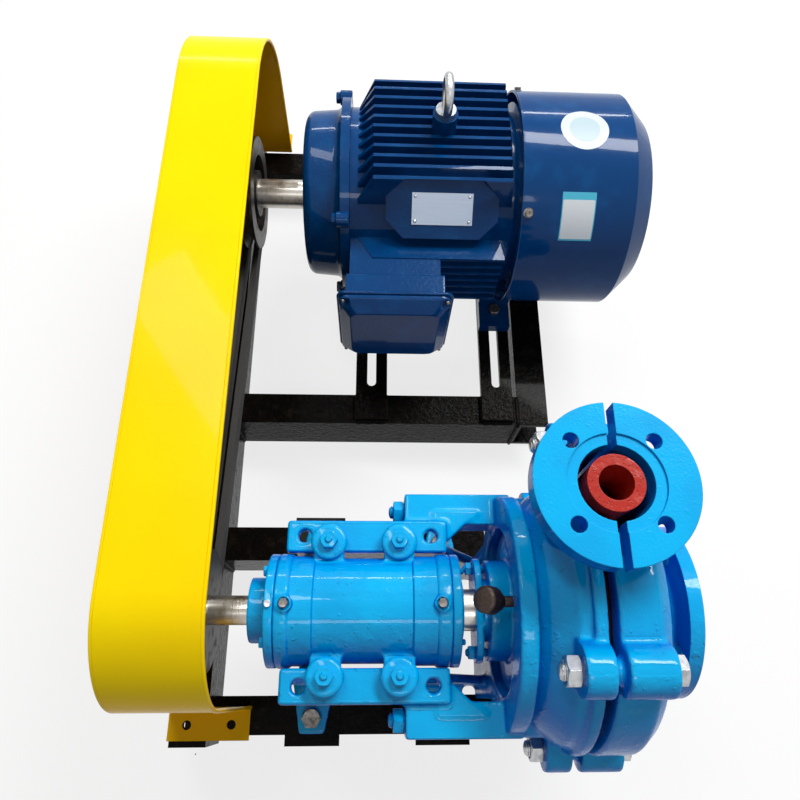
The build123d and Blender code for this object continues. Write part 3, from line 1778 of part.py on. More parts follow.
# Terminal box on the front side
box_w = 120
box_h = 118
box_depth = 28
box_wall = 4
lid_w = 134
lid_h = 131
lid_depth = 24
lid_edge = 10
lid_taper = 14
box_back_y = motor_y + box_neck_y
box_front_y = box_back_y - box_depth
lid_front_y = box_front_y - lid_depth
lid_screw_r = 4
lid_screw_h = 3
lid_face = Plane(origin=(box_x, box_front_y - lid_edge, motor_z), x_dir=(1, 0, 0), z_dir=(0, -1, 0))

with BuildPart() as terminal_box:
    add(
        block(
            box_x - box_w / 2,
            box_x + box_w / 2,
            box_front_y,
            box_back_y,
            motor_z - box_h / 2,
            motor_z + box_h / 2,
        ),
    )
    add(
        block(
            box_x - box_w / 2 + box_wall,
            box_x + box_w / 2 - box_wall,
            box_front_y - overrun,
            box_back_y - box_wall,
            motor_z - box_h / 2 + box_wall,
            motor_z + box_h / 2 - box_wall,
        ),
        mode=Mode.SUBTRACT,
    )
terminal_box.part.label = "terminal_box"
export_step(terminal_box.part, "parts/terminal_box.step")

with BuildPart() as terminal_lid:
    with BuildSketch(Plane(origin=(box_x, box_front_y, motor_z), x_dir=(1, 0, 0), z_dir=(0, -1, 0))):
        RectangleRounded(lid_w, lid_h, lid_edge)
    extrude(amount=lid_edge)
    with BuildSketch(lid_face):
        RectangleRounded(lid_w, lid_h, lid_edge)
    with BuildSketch(Plane(origin=(box_x, lid_front_y, motor_z), x_dir=(1, 0, 0), z_dir=(0, -1, 0))):
        RectangleRounded(lid_w - 2 * lid_taper, lid_h - 2 * lid_taper, lid_edge)
    loft()
    with BuildSketch(lid_face):
        with GridLocations(lid_w - lid_edge, lid_h - lid_edge, 2, 2):
            Circle(lid_screw_r + lid_taper / 4)
    extrude(amount=lid_depth, mode=Mode.SUBTRACT)
    add(
        block(
            box_x - box_w / 2 + lid_edge,
            box_x + box_w / 2 - lid_edge,
            box_front_y - lid_depth + 2 * box_wall,
            box_front_y + overrun,
            motor_z - box_h / 2 + lid_edge,
            motor_z + box_h / 2 - lid_edge,
        ),
        mode=Mode.SUBTRACT,
    )
terminal_lid.part.label = "terminal_lid"
export_step(terminal_lid.part, "parts/terminal_lid.step")

with BuildPart() as motor_cover_screws:
    for angle in fan_screw_angles:
        add(radial_post(cover_screw_x, shield_r, cover_r, fan_screw_r - running, angle))
        add(radial_post(cover_screw_x, cover_r, cover_r + fan_screw_head_h, fan_screw_head_r, angle))
    with BuildSketch(lid_face):
        with GridLocations(lid_w - lid_edge, lid_h - lid_edge, 2, 2):
            Circle(lid_screw_r)
    extrude(amount=lid_screw_h)
motor_cover_screws.part.label = "motor_cover_screws"
export_step(motor_cover_screws.part, "parts/motor_cover_screws.step")

inlet_r = 13
inlet_length = 14
inlet_spread = 44
inlet_y = (box_front_y + box_back_y) / 2
with BuildPart() as cable_inlets:
    for side in (-1, 1):
        add(
            post(
                box_x + side * inlet_spread / 2,
                inlet_y,
                motor_z - box_h / 2 - inlet_length,
                motor_z - box_h / 2,
                inlet_r,
            )
        )
cable_inlets.part.label = "cable_inlets"
export_step(cable_inlets.part, "parts/cable_inlets.step")

# Eyebolt
eye_ring_r = 20
eye_wire_r = 5
eye_collar_r = 12
eye_collar_t = 7
eye_seat_z = motor_z + eyebolt_boss_z
eye_centre_z = eye_seat_z + eye_collar_t + eye_ring_r
with BuildPart() as eyebolt:
    add(post(eyebolt_x, motor_y, eye_seat_z, eye_seat_z + eye_collar_t, eye_collar_r))
    add(post(eyebolt_x, motor_y, eye_seat_z - eyebolt_d, eye_seat_z, eyebolt_d / 2 - running))
    with BuildSketch(Plane(origin=(eyebolt_x, motor_y, eye_centre_z), x_dir=(0, 0, 1), z_dir=(0, 1, 0))):
        with Locations((eye_ring_r, 0)):
            Circle(eye_wire_r)
    revolve(axis=Axis((eyebolt_x, motor_y, eye_centre_z), (1, 0, 0)))
eyebolt.part.label = "eyebolt"
export_step(eyebolt.part, "parts/eyebolt.step")

# Nameplate, bare
nameplate_w = 74
nameplate_h = 38
nameplate_t = 1
with BuildPart() as nameplate:
    with BuildSketch(nameplate_plane):
        Rectangle(nameplate_w, nameplate_h)
    extrude(amount=nameplate_t)
nameplate.part.label = "nameplate"
export_step(nameplate.part, "parts/nameplate.step")

# Motor hold-down bolts, through the feet and the slots
motor_bolt_d = 10
motor_bolt_length = foot_plate_t + bar_plate_t + motor_bolt_d * (nut_height_share + stud_end_share)
motor_foot_top_z = motor_z - motor_height + foot_plate_t
motor_bolt_places = tuple(
    (x, motor_y + side * foot_span_y / 2)
    for x in (motor_foot_x, motor_foot_x + foot_span_x)
    for side in (-1, 1)
)
with BuildPart() as motor_foot_bolts:
    for x, y in motor_bolt_places:
        add(hex_bolt((x, y, motor_foot_top_z), (0, 0, 1), motor_bolt_d, motor_bolt_length))
    for x, y in motor_bolt_places:
        add(hex_nut((x, y, rail_top_z), (0, 0, -1), motor_bolt_d))
motor_foot_bolts.part.label = "motor_foot_bolts"
export_step(motor_foot_bolts.part, "parts/motor_foot_bolts.step")
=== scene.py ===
# %% [markdown]
# A belt-driven slurry pump set is dressed here: bright azure castings, a yellow belt guard, a dark blue
# finned motor and a black welded skid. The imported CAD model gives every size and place. Blender adds the
# finishes, and the small forms that a plain solid lacks: threads, weld beads, cast edges and labels.

# %% Load the frame
import json
from math import cos, pi, radians, sin, sqrt

import bmesh
import bpy
import numpy as np
from mathutils import Matrix, Vector


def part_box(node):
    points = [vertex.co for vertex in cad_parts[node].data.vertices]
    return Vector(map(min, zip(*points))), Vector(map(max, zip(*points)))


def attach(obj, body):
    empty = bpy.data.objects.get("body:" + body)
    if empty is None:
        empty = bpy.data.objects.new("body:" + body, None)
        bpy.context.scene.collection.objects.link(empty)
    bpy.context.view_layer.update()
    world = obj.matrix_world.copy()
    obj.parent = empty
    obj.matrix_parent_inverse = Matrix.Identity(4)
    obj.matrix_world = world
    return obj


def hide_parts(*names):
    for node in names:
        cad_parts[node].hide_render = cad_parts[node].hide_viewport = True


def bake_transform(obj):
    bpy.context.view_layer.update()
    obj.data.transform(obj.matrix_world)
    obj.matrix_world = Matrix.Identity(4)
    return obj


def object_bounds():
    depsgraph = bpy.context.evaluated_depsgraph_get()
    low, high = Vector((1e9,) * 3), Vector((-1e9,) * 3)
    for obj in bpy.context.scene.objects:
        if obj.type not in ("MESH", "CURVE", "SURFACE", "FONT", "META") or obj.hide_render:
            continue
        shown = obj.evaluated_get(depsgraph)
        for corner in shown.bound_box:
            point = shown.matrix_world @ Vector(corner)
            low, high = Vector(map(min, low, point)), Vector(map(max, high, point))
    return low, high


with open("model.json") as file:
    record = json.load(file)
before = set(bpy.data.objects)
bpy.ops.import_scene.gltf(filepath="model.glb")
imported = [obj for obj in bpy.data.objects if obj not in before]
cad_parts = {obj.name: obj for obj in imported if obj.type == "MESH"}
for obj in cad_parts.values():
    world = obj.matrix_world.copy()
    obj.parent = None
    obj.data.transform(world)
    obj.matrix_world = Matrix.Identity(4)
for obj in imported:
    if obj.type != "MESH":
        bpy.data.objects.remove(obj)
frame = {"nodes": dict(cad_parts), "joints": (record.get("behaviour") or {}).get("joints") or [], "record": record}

CAD_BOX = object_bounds()
MM = 0.001


def side_of(node, corner, axis):
    """One coordinate of a CAD node's box: corner 0 is the low one and 1 the high one."""
    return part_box(node)[corner][axis]


def middle_of(node):
    """The centre of a CAD node's box."""
    low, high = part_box(node)
    return np.array([(a + b) / 2 for a, b in zip(low, high)])


# %% [markdown]
# Shader sums read best as sums. This class wraps one output socket, and each operator adds the Math node
# that works it out. Colours and vectors go through nodes of their own kind, because a Math node would
# turn a colour grey.

# %% Socket maths
class Value:
    """An output socket of a material, with arithmetic."""

    def __init__(self, paint, socket):
        self.paint = paint
        self.socket = socket

    def _math(self, operation, a, b):
        return self.paint.node("ShaderNodeMath", {"operation": operation}, {0: a, 1: b})

    def __add__(self, other):
        return self._math("ADD", self, other)

    def __radd__(self, other):
        return self._math("ADD", other, self)

    def __sub__(self, other):
        return self._math("SUBTRACT", self, other)

    def __rsub__(self, other):
        return self._math("SUBTRACT", other, self)

    def __mul__(self, other):
        return self._math("MULTIPLY", self, other)

    def at_most(self, limit):
        """The smaller of the value and the limit."""
        return self._math("MINIMUM", self, limit)


class Paint:
    """A node material under construction. Every length in it is in metres."""

    def __init__(self, name):
        self.material = bpy.data.materials.new(name)
        self.material.use_nodes = True
        self.tree = self.material.node_tree
        self.shader = self.tree.nodes["Principled BSDF"]
        self.output = self.tree.nodes["Material Output"]
        place = self.tree.nodes.new("ShaderNodeTexCoord")
        self.place = Value(self, place.outputs["Object"])
        self.normal = Value(self, place.outputs["Normal"])

    def node(self, kind, settings=None, inputs=None, output=0):
        """Adds a node: its settings first, then the values or links of its inputs."""
        made = self.tree.nodes.new(kind)
        for key, value in (settings or {}).items():
            setattr(made, key, value)
        for key, value in (inputs or {}).items():
            self.feed(made.inputs[key], value)
        return Value(self, made.outputs[output])

    def feed(self, socket, value):
        """Links a Value to a socket, or sets the socket to a plain number or colour."""
        if isinstance(value, Value):
            self.tree.links.new(value.socket, socket)
        else:
            socket.default_value = value

    def noise(self, size, detail=2.0, roughness=0.5, at=None):
        """Smooth noise from 0 to 1, whose lumps are about as wide as size."""
        inputs = {"Vector": at or self.place, "Scale": 1 / size, "Detail": detail, "Roughness": roughness}
        return self.node("ShaderNodeTexNoise", None, inputs)

    def cells(self, size):
        """The distance to the nearest point of a scatter, as a share of its spacing."""
        return self.node("ShaderNodeTexVoronoi", None, {"Vector": self.place, "Scale": 1 / size})

    def step(self, value, low, high):
        """0 below low and 1 above high, smooth between them."""
        return self.node("ShaderNodeMapRange", {"interpolation_type": "SMOOTHSTEP"},
                         {"Value": value, "From Min": low, "From Max": high})

    def mix(self, share, first, second):
        """A colour between two colours."""
        made = self.tree.nodes.new("ShaderNodeMix")
        made.data_type = "RGBA"
        for socket, value in zip((made.inputs[0], made.inputs[6], made.inputs[7]), (share, first, second)):
            self.feed(socket, value if isinstance(value, Value) or np.isscalar(value) else (*value, 1))
        return Value(self, made.outputs[2])

    def split(self, vector=None):
        """The three object coordinates, or another vector's three parts, as separate values."""
        made = self.tree.nodes.new("ShaderNodeSeparateXYZ")
        self.feed(made.inputs[0], vector or self.place)
        return [Value(self, socket) for socket in made.outputs]

    def stretched(self, *shares):
        """The place with each coordinate times its share: a small share draws a pattern out that way."""
        parts = {i: part * share for i, (part, share) in enumerate(zip(self.split(), shares))}
        return self.node("ShaderNodeCombineXYZ", None, parts)

    def facing_up(self):
        """How far the surface faces up, from -1 to 1."""
        return self.split(self.normal)[2]

    def bump(self, height, depth, under=None):
        """A normal that follows height, from 0 to 1, over a depth in metres."""
        inputs = {"Height": height, "Distance": depth, "Strength": 1.0}
        if under:
            inputs["Normal"] = under
        return self.node("ShaderNodeBump", None, inputs)

    def soft_edges(self, radius):
        """A normal that rounds every edge by a small radius."""
        return self.node("ShaderNodeBevel", {"samples": 6}, {"Radius": radius})

    def finish(self, **inputs):
        """Feeds the shader's inputs by name, with underscores for spaces, and returns the material."""
        for key, value in inputs.items():
            socket = self.shader.inputs[key.replace("_", " ")]
            self.feed(socket, (*value, 1) if isinstance(value, tuple) and len(value) == 3 else value)
        return self.material

    def two_tone(self, share, first, second, grain, depth, under=None, **inputs):
        """Finishes the material in a mix of two colours, with a fine relief."""
        return self.finish(Base_Color=self.mix(share, first, second),
                           Normal=self.bump(grain, depth, under), **inputs)


# %% [markdown]
# The photograph is taken from close above the pump, so near parts look large and the sides of the tall
# parts show. The camera's place and angles were fitted to the model. The lens is given by its focal
# length in picture widths, which doesn't depend on the sensor.

# %% Camera
CAMERA_PLACE = (-0.2965, -0.0779, 0.7236)
CAMERA_RIGHT = (0.99896, -0.00580, 0.04533)
CAMERA_UP = (-0.01208, 0.92310, 0.38436)
FOCAL_SHARE = 704.8 / 800
CENTRE_PX = (406.3, 401.6)
IMAGE_PX = 800


def add_camera():
    """A camera at the photograph's place, looking along its two fitted axes."""
    lens = bpy.data.cameras.new("camera")
    lens.lens = FOCAL_SHARE * lens.sensor_width
    lens.shift_x = (IMAGE_PX / 2 - CENTRE_PX[0]) / IMAGE_PX
    lens.shift_y = (CENTRE_PX[1] - IMAGE_PX / 2) / IMAGE_PX
    lens.clip_start = 0.02
    camera = bpy.data.objects.new("camera", lens)
    right = Vector(CAMERA_RIGHT).normalized()
    back = right.cross(Vector(CAMERA_UP)).normalized()
    up = back.cross(right)
    turn = Matrix((right, up, back)).transposed()
    camera.matrix_world = Matrix.Translation(CAMERA_PLACE) @ turn.to_4x4()
    bpy.context.scene.collection.objects.link(camera)
    bpy.context.scene.camera = camera


add_camera()

# %% [markdown]
# Gloss paint is known by what it reflects. Three soft lamps, a low strip and a faint even sky give long
# highlights without burning the colours out. Sky and floor look white to the camera and in reflections,
# but the sky lights the object only faintly, and the floor keeps the shadow.

# %% Light and floor
FLOOR_Z = CAD_BOX[0][2]
FLOOR_HALF = 6.0
FLOOR_GLOW = 0.78
SKY_LIGHT = 0.13
LAMPS = (
    # name, place, aim, width, depth, power
    ("key", (0.7, 1.4, 2.1), (-0.2, 0.2, 0.0), 1.4, 0.45, 62),
    ("window", (-0.9, 1.1, 2.2), (-0.4, 0.4, 0.0), 0.3, 1.2, 16),
    ("fill", (-0.1, -1.3, 2.3), (-0.2, 0.0, 0.0), 1.2, 0.3, 10),
    ("strip", (-0.2, 2.7, 1.15), (-0.2, 0.2, 0.0), 2.0, 0.10, 22),
)


def add_lamp(name, place, aim, width, depth, power):
    """A rectangular lamp that faces a point."""
    data = bpy.data.lights.new(name, "AREA")
    data.shape = "RECTANGLE"
    data.size, data.size_y, data.energy = width, depth, power
    lamp = bpy.data.objects.new(name, data)
    away = (Vector(aim) - Vector(place)).normalized()
    lamp.matrix_world = Matrix.Translation(place) @ away.to_track_quat("-Z", "Y").to_matrix().to_4x4()
    bpy.context.scene.collection.objects.link(lamp)


def seen_directly(tree):
    """A socket that is 1 for camera, reflected and transmitted rays, and 0 for plain light."""
    path = tree.nodes.new("ShaderNodeLightPath")
    seen = path.outputs["Is Camera Ray"]
    for key in ("Is Glossy Ray", "Is Transmission Ray"):
        more = tree.nodes.new("ShaderNodeMath")
        more.use_clamp = True
        tree.links.new(seen, more.inputs[0])
        tree.links.new(path.outputs[key], more.inputs[1])
        seen = more.outputs[0]
    return seen


def add_world():
    """An even sky that looks white and lights far less."""
    world = bpy.data.worlds.new("studio")
    bpy.context.scene.world = world
    world.use_nodes = True
    tree = world.node_tree
    sky = tree.nodes["Background"]
    sky.inputs["Color"].default_value = (1, 1, 1, 1)
    lift = tree.nodes.new("ShaderNodeMapRange")
    lift.inputs["To Min"].default_value = SKY_LIGHT
    tree.links.new(seen_directly(tree), lift.inputs["Value"])
    tree.links.new(lift.outputs[0], sky.inputs["Strength"])


def add_floor():
    """A wide pale plane at the skid's underside."""
    mesh = bpy.data.meshes.new("floor")
    corners = [(x * FLOOR_HALF, y * FLOOR_HALF, FLOOR_Z) for x, y in ((-1, -1), (1, -1), (1, 1), (-1, 1))]
    mesh.from_pydata(corners, [], [(0, 1, 2, 3)])
    floor = bpy.data.objects.new("floor", mesh)
    bpy.context.scene.collection.objects.link(floor)
    paint = Paint("floor_white")
    glow = paint.node("ShaderNodeEmission", None, {"Color": (1, 1, 1, 1), "Strength": 1.0})
    shown = Value(paint, paint.shader.outputs[0])
    share = Value(paint, seen_directly(paint.tree)) * FLOOR_GLOW
    both = paint.node("ShaderNodeMixShader", None, {0: share, 1: shown, 2: glow})
    paint.feed(paint.output.inputs["Surface"], both)
    mesh.materials.append(paint.finish(Base_Color=(0.86, 0.86, 0.86), Roughness=0.9))


for lamp in LAMPS:
    add_lamp(*lamp)
add_world()
add_floor()
bpy.context.scene.view_settings.view_transform = "Standard"

# %% [markdown]
# The castings wear one thick coat of azure gloss over rough sand-cast iron. So the paint has three
# scales: slow lumps of the casting, the fine orange peel of the spray gun, and a few runs on upright
# walls. Edges are rounded by the coat itself. Faces that turn away from up are painted a deeper blue,
# as painted shade.

# %% Azure paint
AZURE = (0.0, 0.385, 0.740)
AZURE_SHADE = (0.0, 0.290, 0.630)
# Painted shade: the deeper blue given to faces that turn away from up.
AZURE_PAINTED_SHADE = (0.0, 0.140, 0.590)


def azure_paint():
    paint = Paint("azure_gloss")
    patches = paint.step(paint.noise(0.045, 3), 0.35, 0.70)
    colour = paint.mix(patches * 0.55, AZURE, AZURE_SHADE)
    up = paint.facing_up()
    # Painted shade: faces that turn away from up are mixed towards the deeper blue.
    colour = paint.mix(paint.step(up, 0.97, 0.30) * 0.88, colour, AZURE_PAINTED_SHADE)
    flat = 1.0 - paint.step(up, 0.970, 0.995) * 0.8
    lumps = paint.noise(0.011, 3) * flat
    peel = paint.noise(0.0022, 1)
    runs = paint.step(paint.noise(0.0055, 1, at=paint.stretched(1, 1, 0.12)), 0.62, 0.80) * flat
    base = paint.bump(lumps, 0.0011, paint.soft_edges(0.0016))
    coat = paint.bump(runs, 0.0007, base)
    return paint.finish(Base_Color=colour, Roughness=0.20 + patches * 0.10, Specular_IOR_Level=0.03,
                        Coat_Weight=0.26, Coat_Roughness=0.03, Normal=paint.bump(peel, 0.00016, coat))


# %% [markdown]
# The guard is folded sheet, so its yellow lies flatter. The sheet is slightly wavy, which bends the
# highlights into slow bands, and its cut edges are softened by the paint. Faces that turn away from up
# are painted a deeper orange yellow, as painted shade.

# %% Yellow paint
YELLOW = (0.900, 0.660, 0.0006)
YELLOW_DEEP = (0.880, 0.540, 0.0006)
# Painted shade: the orange yellow given to faces that turn away from up.
YELLOW_PAINTED_SHADE = (0.820, 0.450, 0.001)


def yellow_paint(name="yellow_gloss", shade_share=0.0):
    paint = Paint(name)
    tone = paint.noise(0.16, 2)
    dents = paint.noise(0.085, 1)
    peel = paint.noise(0.0030, 1)
    base = paint.bump(dents, 0.0016, paint.soft_edges(0.0012))
    top = paint.mix(paint.step(tone, 0.3, 0.8) * 0.5, YELLOW, YELLOW_DEEP)
    # Painted shade: faces that turn away from up, plus a given share all over, are mixed towards the orange
    # yellow.
    side = paint.step(paint.facing_up(), 0.70, -0.10)
    colour = paint.mix((side + shade_share).at_most(1.0), top, YELLOW_PAINTED_SHADE)
    return paint.finish(Base_Color=colour, Roughness=0.22, Specular_IOR_Level=0.02, Coat_Weight=0.06,
                        Coat_Roughness=0.05, Normal=paint.bump(peel, 0.00010, base))


# %% [markdown]
# The motor is enamelled dark blue. Its castings are finer than the pump's, and dust dulls the enamel a
# little in patches. The fan cover is sheet, so the grain of the castings fades where it starts.

# %% Navy enamel
NAVY = (0.0004, 0.042, 0.158)
NAVY_DUST = (0.0010, 0.068, 0.220)
SHEET_FROM = (-0.126, -0.122)


def navy_enamel():
    paint = Paint("navy_enamel")
    dust = paint.step(paint.noise(0.03, 4), 0.45, 0.75)
    sheet = paint.step(paint.split()[0], *SHEET_FROM)
    grain = paint.noise(0.0045, 3) * (1.0 - sheet * 0.85)
    return paint.two_tone(dust * 0.6, NAVY, NAVY_DUST, grain, 0.00042, paint.soft_edges(0.0010),
                          Roughness=0.17 + dust * 0.10, Specular_IOR_Level=0.03, Coat_Weight=0.22,
                          Coat_Roughness=0.04)


# %% [markdown]
# The skid's black paint is brushed over mill scale. It is glossy on the high spots, dusty brown in the
# hollows, and gritty all over.

# %% Black skid paint
BLACK = (0.0045, 0.0036, 0.0030)
BLACK_DUST = (0.022, 0.016, 0.011)


def black_paint():
    paint = Paint("skid_black")
    dust = paint.step(paint.noise(0.020, 5, 0.65), 0.50, 0.82)
    scale = paint.noise(0.0060, 4)
    grit = paint.step(paint.cells(0.0035), 0.10, 0.35)
    base = paint.bump(scale, 0.0012, paint.soft_edges(0.0014))
    return paint.two_tone(dust, BLACK, BLACK_DUST, grit, 0.00040, base, Roughness=0.16 + dust * 0.30,
                          Specular_IOR_Level=0.02, Coat_Weight=0.03, Coat_Roughness=0.06)


# %% [markdown]
# Bare metals differ mostly in colour, in roughness and in which way their fine lines run. Turned shafts
# have rings round their axis, so the lines there nearly follow the X coordinate alone. The motor's core is
# a stack of sheets, shown by a wave along the same axis.

# %% Metals
def zinc_plate():
    paint = Paint("zinc_plate")
    bloom = paint.noise(0.006, 4)
    return paint.two_tone(paint.step(bloom, 0.35, 0.75), (0.50, 0.51, 0.52), (0.30, 0.31, 0.33),
                          paint.noise(0.0015, 2), 0.00006, paint.soft_edges(0.0005),
                          Metallic=1.0, Roughness=0.22 + bloom * 0.20)


def turned_steel():
    paint = Paint("turned_steel")
    rings = paint.noise(0.0007, 2, at=paint.stretched(1, 0.02, 0.02))
    stain = paint.step(paint.noise(0.014, 4), 0.5, 0.8)
    return paint.two_tone(stain, (0.60, 0.57, 0.52), (0.30, 0.25, 0.19), rings, 0.00006,
                          Metallic=1.0, Roughness=0.20 + rings * 0.22)


def worn_steel():
    paint = Paint("worn_steel")
    wear = paint.step(paint.noise(0.004, 3), 0.40, 0.75)
    return paint.two_tone(wear, (0.20, 0.185, 0.17), (0.085, 0.072, 0.060), paint.noise(0.0012, 2), 0.00010,
                          Metallic=0.85, Roughness=0.30 + wear * 0.2)


def dark_iron():
    paint = Paint("dark_iron")
    rust = paint.step(paint.noise(0.012, 4), 0.48, 0.75)
    return paint.two_tone(rust, (0.030, 0.028, 0.026), (0.085, 0.052, 0.032), paint.noise(0.002, 3), 0.00020,
                          Metallic=0.7, Roughness=0.38 + rust * 0.25)


def brown_metal():
    paint = Paint("brown_metal")
    wear = paint.step(paint.noise(0.0014, 3), 0.45, 0.80)
    return paint.two_tone(wear, (0.040, 0.026, 0.022), (0.100, 0.062, 0.045),
                          paint.noise(0.0016, 2), 0.00012, paint.soft_edges(0.0008),
                          Metallic=0.6, Roughness=0.36 + wear * 0.15)


def bronze():
    paint = Paint("bronze")
    tone = paint.noise(0.008, 3)
    return paint.two_tone(tone, (0.50, 0.30, 0.13), (0.38, 0.22, 0.10), tone, 0.00010,
                          Metallic=1.0, Roughness=0.34)


def hard_iron():
    paint = Paint("hard_iron")
    return paint.two_tone(paint.noise(0.010, 4), (0.25, 0.24, 0.23), (0.13, 0.12, 0.11),
                          paint.noise(0.003, 3), 0.00030, Metallic=0.9, Roughness=0.45)


def core_steel():
    paint = Paint("core_steel")
    sheets = paint.node("ShaderNodeTexWave", {"bands_direction": "X"}, {"Scale": 320.0}, 1)
    return paint.finish(Base_Color=(0.20, 0.19, 0.18), Metallic=0.85, Roughness=0.42,
                        Normal=paint.bump(sheets, 0.00010))


def plate_aluminium():
    paint = Paint("plate_aluminium")
    lines = paint.noise(0.0006, 2, at=paint.stretched(0.02, 1, 1))
    return paint.two_tone(lines, (0.46, 0.53, 0.63), (0.33, 0.39, 0.48), lines, 0.00004,
                          Metallic=0.55, Roughness=0.34 + lines * 0.12)


# %% [markdown]
# The rest are plain stuffs: rubber belts with a cloth weave, braided packing, moulded plastic, and the
# red primer on the liner, which is glossy and full of fine pits. Below a set height, deep inside the casing,
# the liner is painted dark blue as painted shade, and each pit is painted a darker red as painted shade.

# %% Liner, rubber, packing and plastic
def red_liner():
    paint = Paint("red_primer")
    pits = paint.step(paint.cells(0.0032), 0.08, 0.32)
    tone = paint.noise(0.010, 3)
    height = paint.split()[2]
    red = paint.mix(tone, (0.440, 0.024, 0.013), (0.320, 0.017, 0.010))
    # Painted shade: the pits, which the bump sinks, are painted a darker red.
    bright = paint.mix(pits, (0.260, 0.012, 0.008), red)
    # Painted shade: below a set height, deep inside the casing, the liner is painted dark blue.
    colour = paint.mix(paint.step(height, 0.100, 0.130), (0.004, 0.012, 0.030), bright)
    return paint.finish(Base_Color=colour, Roughness=0.20, Specular_IOR_Level=0.2,
                        Normal=paint.bump(pits, 0.00035, paint.bump(tone, 0.0006, paint.soft_edges(0.0008))))


def belt_rubber():
    paint = Paint("belt_rubber")
    weave = paint.noise(0.0012, 1)
    return paint.two_tone(weave, (0.014, 0.013, 0.012), (0.030, 0.028, 0.026), weave, 0.00012, Roughness=0.62)


def packing_braid():
    paint = Paint("packing_braid")
    strands = paint.cells(0.0022)
    return paint.two_tone(strands, (0.10, 0.095, 0.08), (0.20, 0.19, 0.16), strands, 0.0004, Roughness=0.8)


def black_plastic():
    paint = Paint("black_plastic")
    grain = paint.noise(0.0015, 2)
    return paint.two_tone(grain, (0.018, 0.018, 0.020), (0.034, 0.034, 0.036), grain, 0.00008, Roughness=0.42)


# %% [markdown]
# Each finish is made once. The record says which material slot a CAD node has, so one table takes every
# slot to its finish, and a loop dresses all the nodes.

# %% Dress the CAD nodes
FINISHES = {
    "black_frame": black_paint(),
    "azure_paint": azure_paint(),
    "zinc_plate": zinc_plate(),
    "bright_steel": turned_steel(),
    "brown_metal": brown_metal(),
    "packing": packing_braid(),
    "bronze": bronze(),
    "red_liner": red_liner(),
    "hard_iron": hard_iron(),
    "dark_iron": dark_iron(),
    "belt_rubber": belt_rubber(),
    "yellow_paint": yellow_paint(),
    "navy_paint": navy_enamel(),
    "core_steel": core_steel(),
    "plate_aluminium": plate_aluminium(),
    "black_plastic": black_plastic(),
    "worn_steel": worn_steel(),
    # Painted shade: the guard feet's yellow, mixed most of the way to the painted-shade orange all over.
    "guard_shaded_yellow": yellow_paint("yellow_shaded_all_over", 0.90),
}
FINISHES["fan_plastic"] = FINISHES["black_plastic"]
SLOT_OF = {entry["node"]: entry["material_slot"] for entry in frame["record"]["subparts"]}

for node, cad in frame["nodes"].items():
    # The guard feet take the yellow with painted shade all over.
    finish = FINISHES["guard_shaded_yellow" if node == "guard_feet" else SLOT_OF[node]]
    for slot in cad.material_slots:
        slot.material = finish
    if not cad.material_slots:
        cad.data.materials.append(finish)

# %% [markdown]
# Every new form here is a surface worked out with numpy, as a grid of rows and columns. A turned form has
# its height and its radius given row by row, and either may also change round the axis, which is how a
# round bar becomes a hexagon or a thread. Poles and seams close when doubled points are merged.

# %% Surfaces
def axes_of(out):
    """Two side directions and the unit direction out, at right angles and right-handed."""
    out = np.array(out, float) / np.linalg.norm(out)
    side = np.cross(out, (0, 0, 1) if abs(out[2]) < 0.9 else (1, 0, 0))
    side /= np.linalg.norm(side)
    return side, np.cross(out, side), out


def quads(rows, columns, closed=False):
    """The faces of a grid whose columns run round, and whose last row may meet its first."""
    row = np.arange(rows if closed else rows - 1)[:, None] * columns
    column = np.arange(columns)[None, :]
    a, b = row + column, row + (column + 1) % columns
    c, d = (b + columns) % (rows * columns), (a + columns) % (rows * columns)
    return np.stack([a, b, c, d], -1).reshape(-1, 4)


def turned_form(origin, out, along, radius, columns=48, closed=False):
    """Point = origin + along * out + radius * (cos a * side + sin a * up), row by row."""
    angle = np.linspace(0, 2 * pi, columns, endpoint=False)
    along = np.array(along, float).reshape(len(along), -1) + 0 * angle
    radius = np.array(radius, float).reshape(len(radius), -1) + 0 * angle
    side, up, out = axes_of(out)
    ring = np.cos(angle)[:, None] * side + np.sin(angle)[:, None] * up
    points = np.array(origin) + along[..., None] * out + radius[..., None] * ring
    return points.reshape(-1, 3), quads(len(along), columns, closed)


def build(name, forms, finish, body=None, nodes=(), crease=35):
    """One mesh object at the origin from several (points, faces), with merged doubles and crisp edges."""
    shape = bmesh.new()
    for points, faces in forms:
        made = [shape.verts.new(p) for p in points]
        for face in faces:
            shape.faces.new([made[i] for i in face])
    bmesh.ops.remove_doubles(shape, verts=shape.verts, dist=2e-6)
    bmesh.ops.dissolve_degenerate(shape, edges=shape.edges, dist=1e-7)
    for face in shape.faces:
        face.smooth = True
    for edge in shape.edges:
        edge.smooth = len(edge.link_faces) < 2 or edge.calc_face_angle(0) < radians(crease)
    mesh = bpy.data.meshes.new(name)
    shape.to_mesh(mesh)
    shape.free()
    return settle(name, mesh, finish, body, nodes)


def settle(name, mesh, finish, body=None, nodes=()):
    """Links a mesh as a piece, with its finish, on its body. A blended piece gets none here."""
    piece = bpy.data.objects.new(name, mesh)
    bpy.context.scene.collection.objects.link(piece)
    mesh.materials.clear()
    mesh.materials.append(FINISHES[finish])
    if body != "blended":
        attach(piece, body or BODY_OF[nodes[0]])
    finish in RECORD_SLOTS
    if nodes:
        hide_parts(*nodes)
    print(name, len(mesh.polygons), "faces")
    return piece


RECORD_SLOTS = {entry["slot"] for entry in frame["record"]["materials"]}
BODY_OF = {node: body for body, nodes in frame["record"]["behaviour"]["bodies"].items() for node in nodes}

# %% [markdown]
# A real bolt head isn't a plain prism. A cone of 30 degrees cuts its corners, so each flat ends in an arc,
# and it stands on a thin round washer face. A nut is cut so on both ends. A thread is a ridge that climbs
# by one pitch each turn. All three are turned forms whose radius changes with the angle.

# %% Bolts, nuts and threads
CORNERS = 48
TURN = np.linspace(0, 2 * pi, CORNERS, endpoint=False)


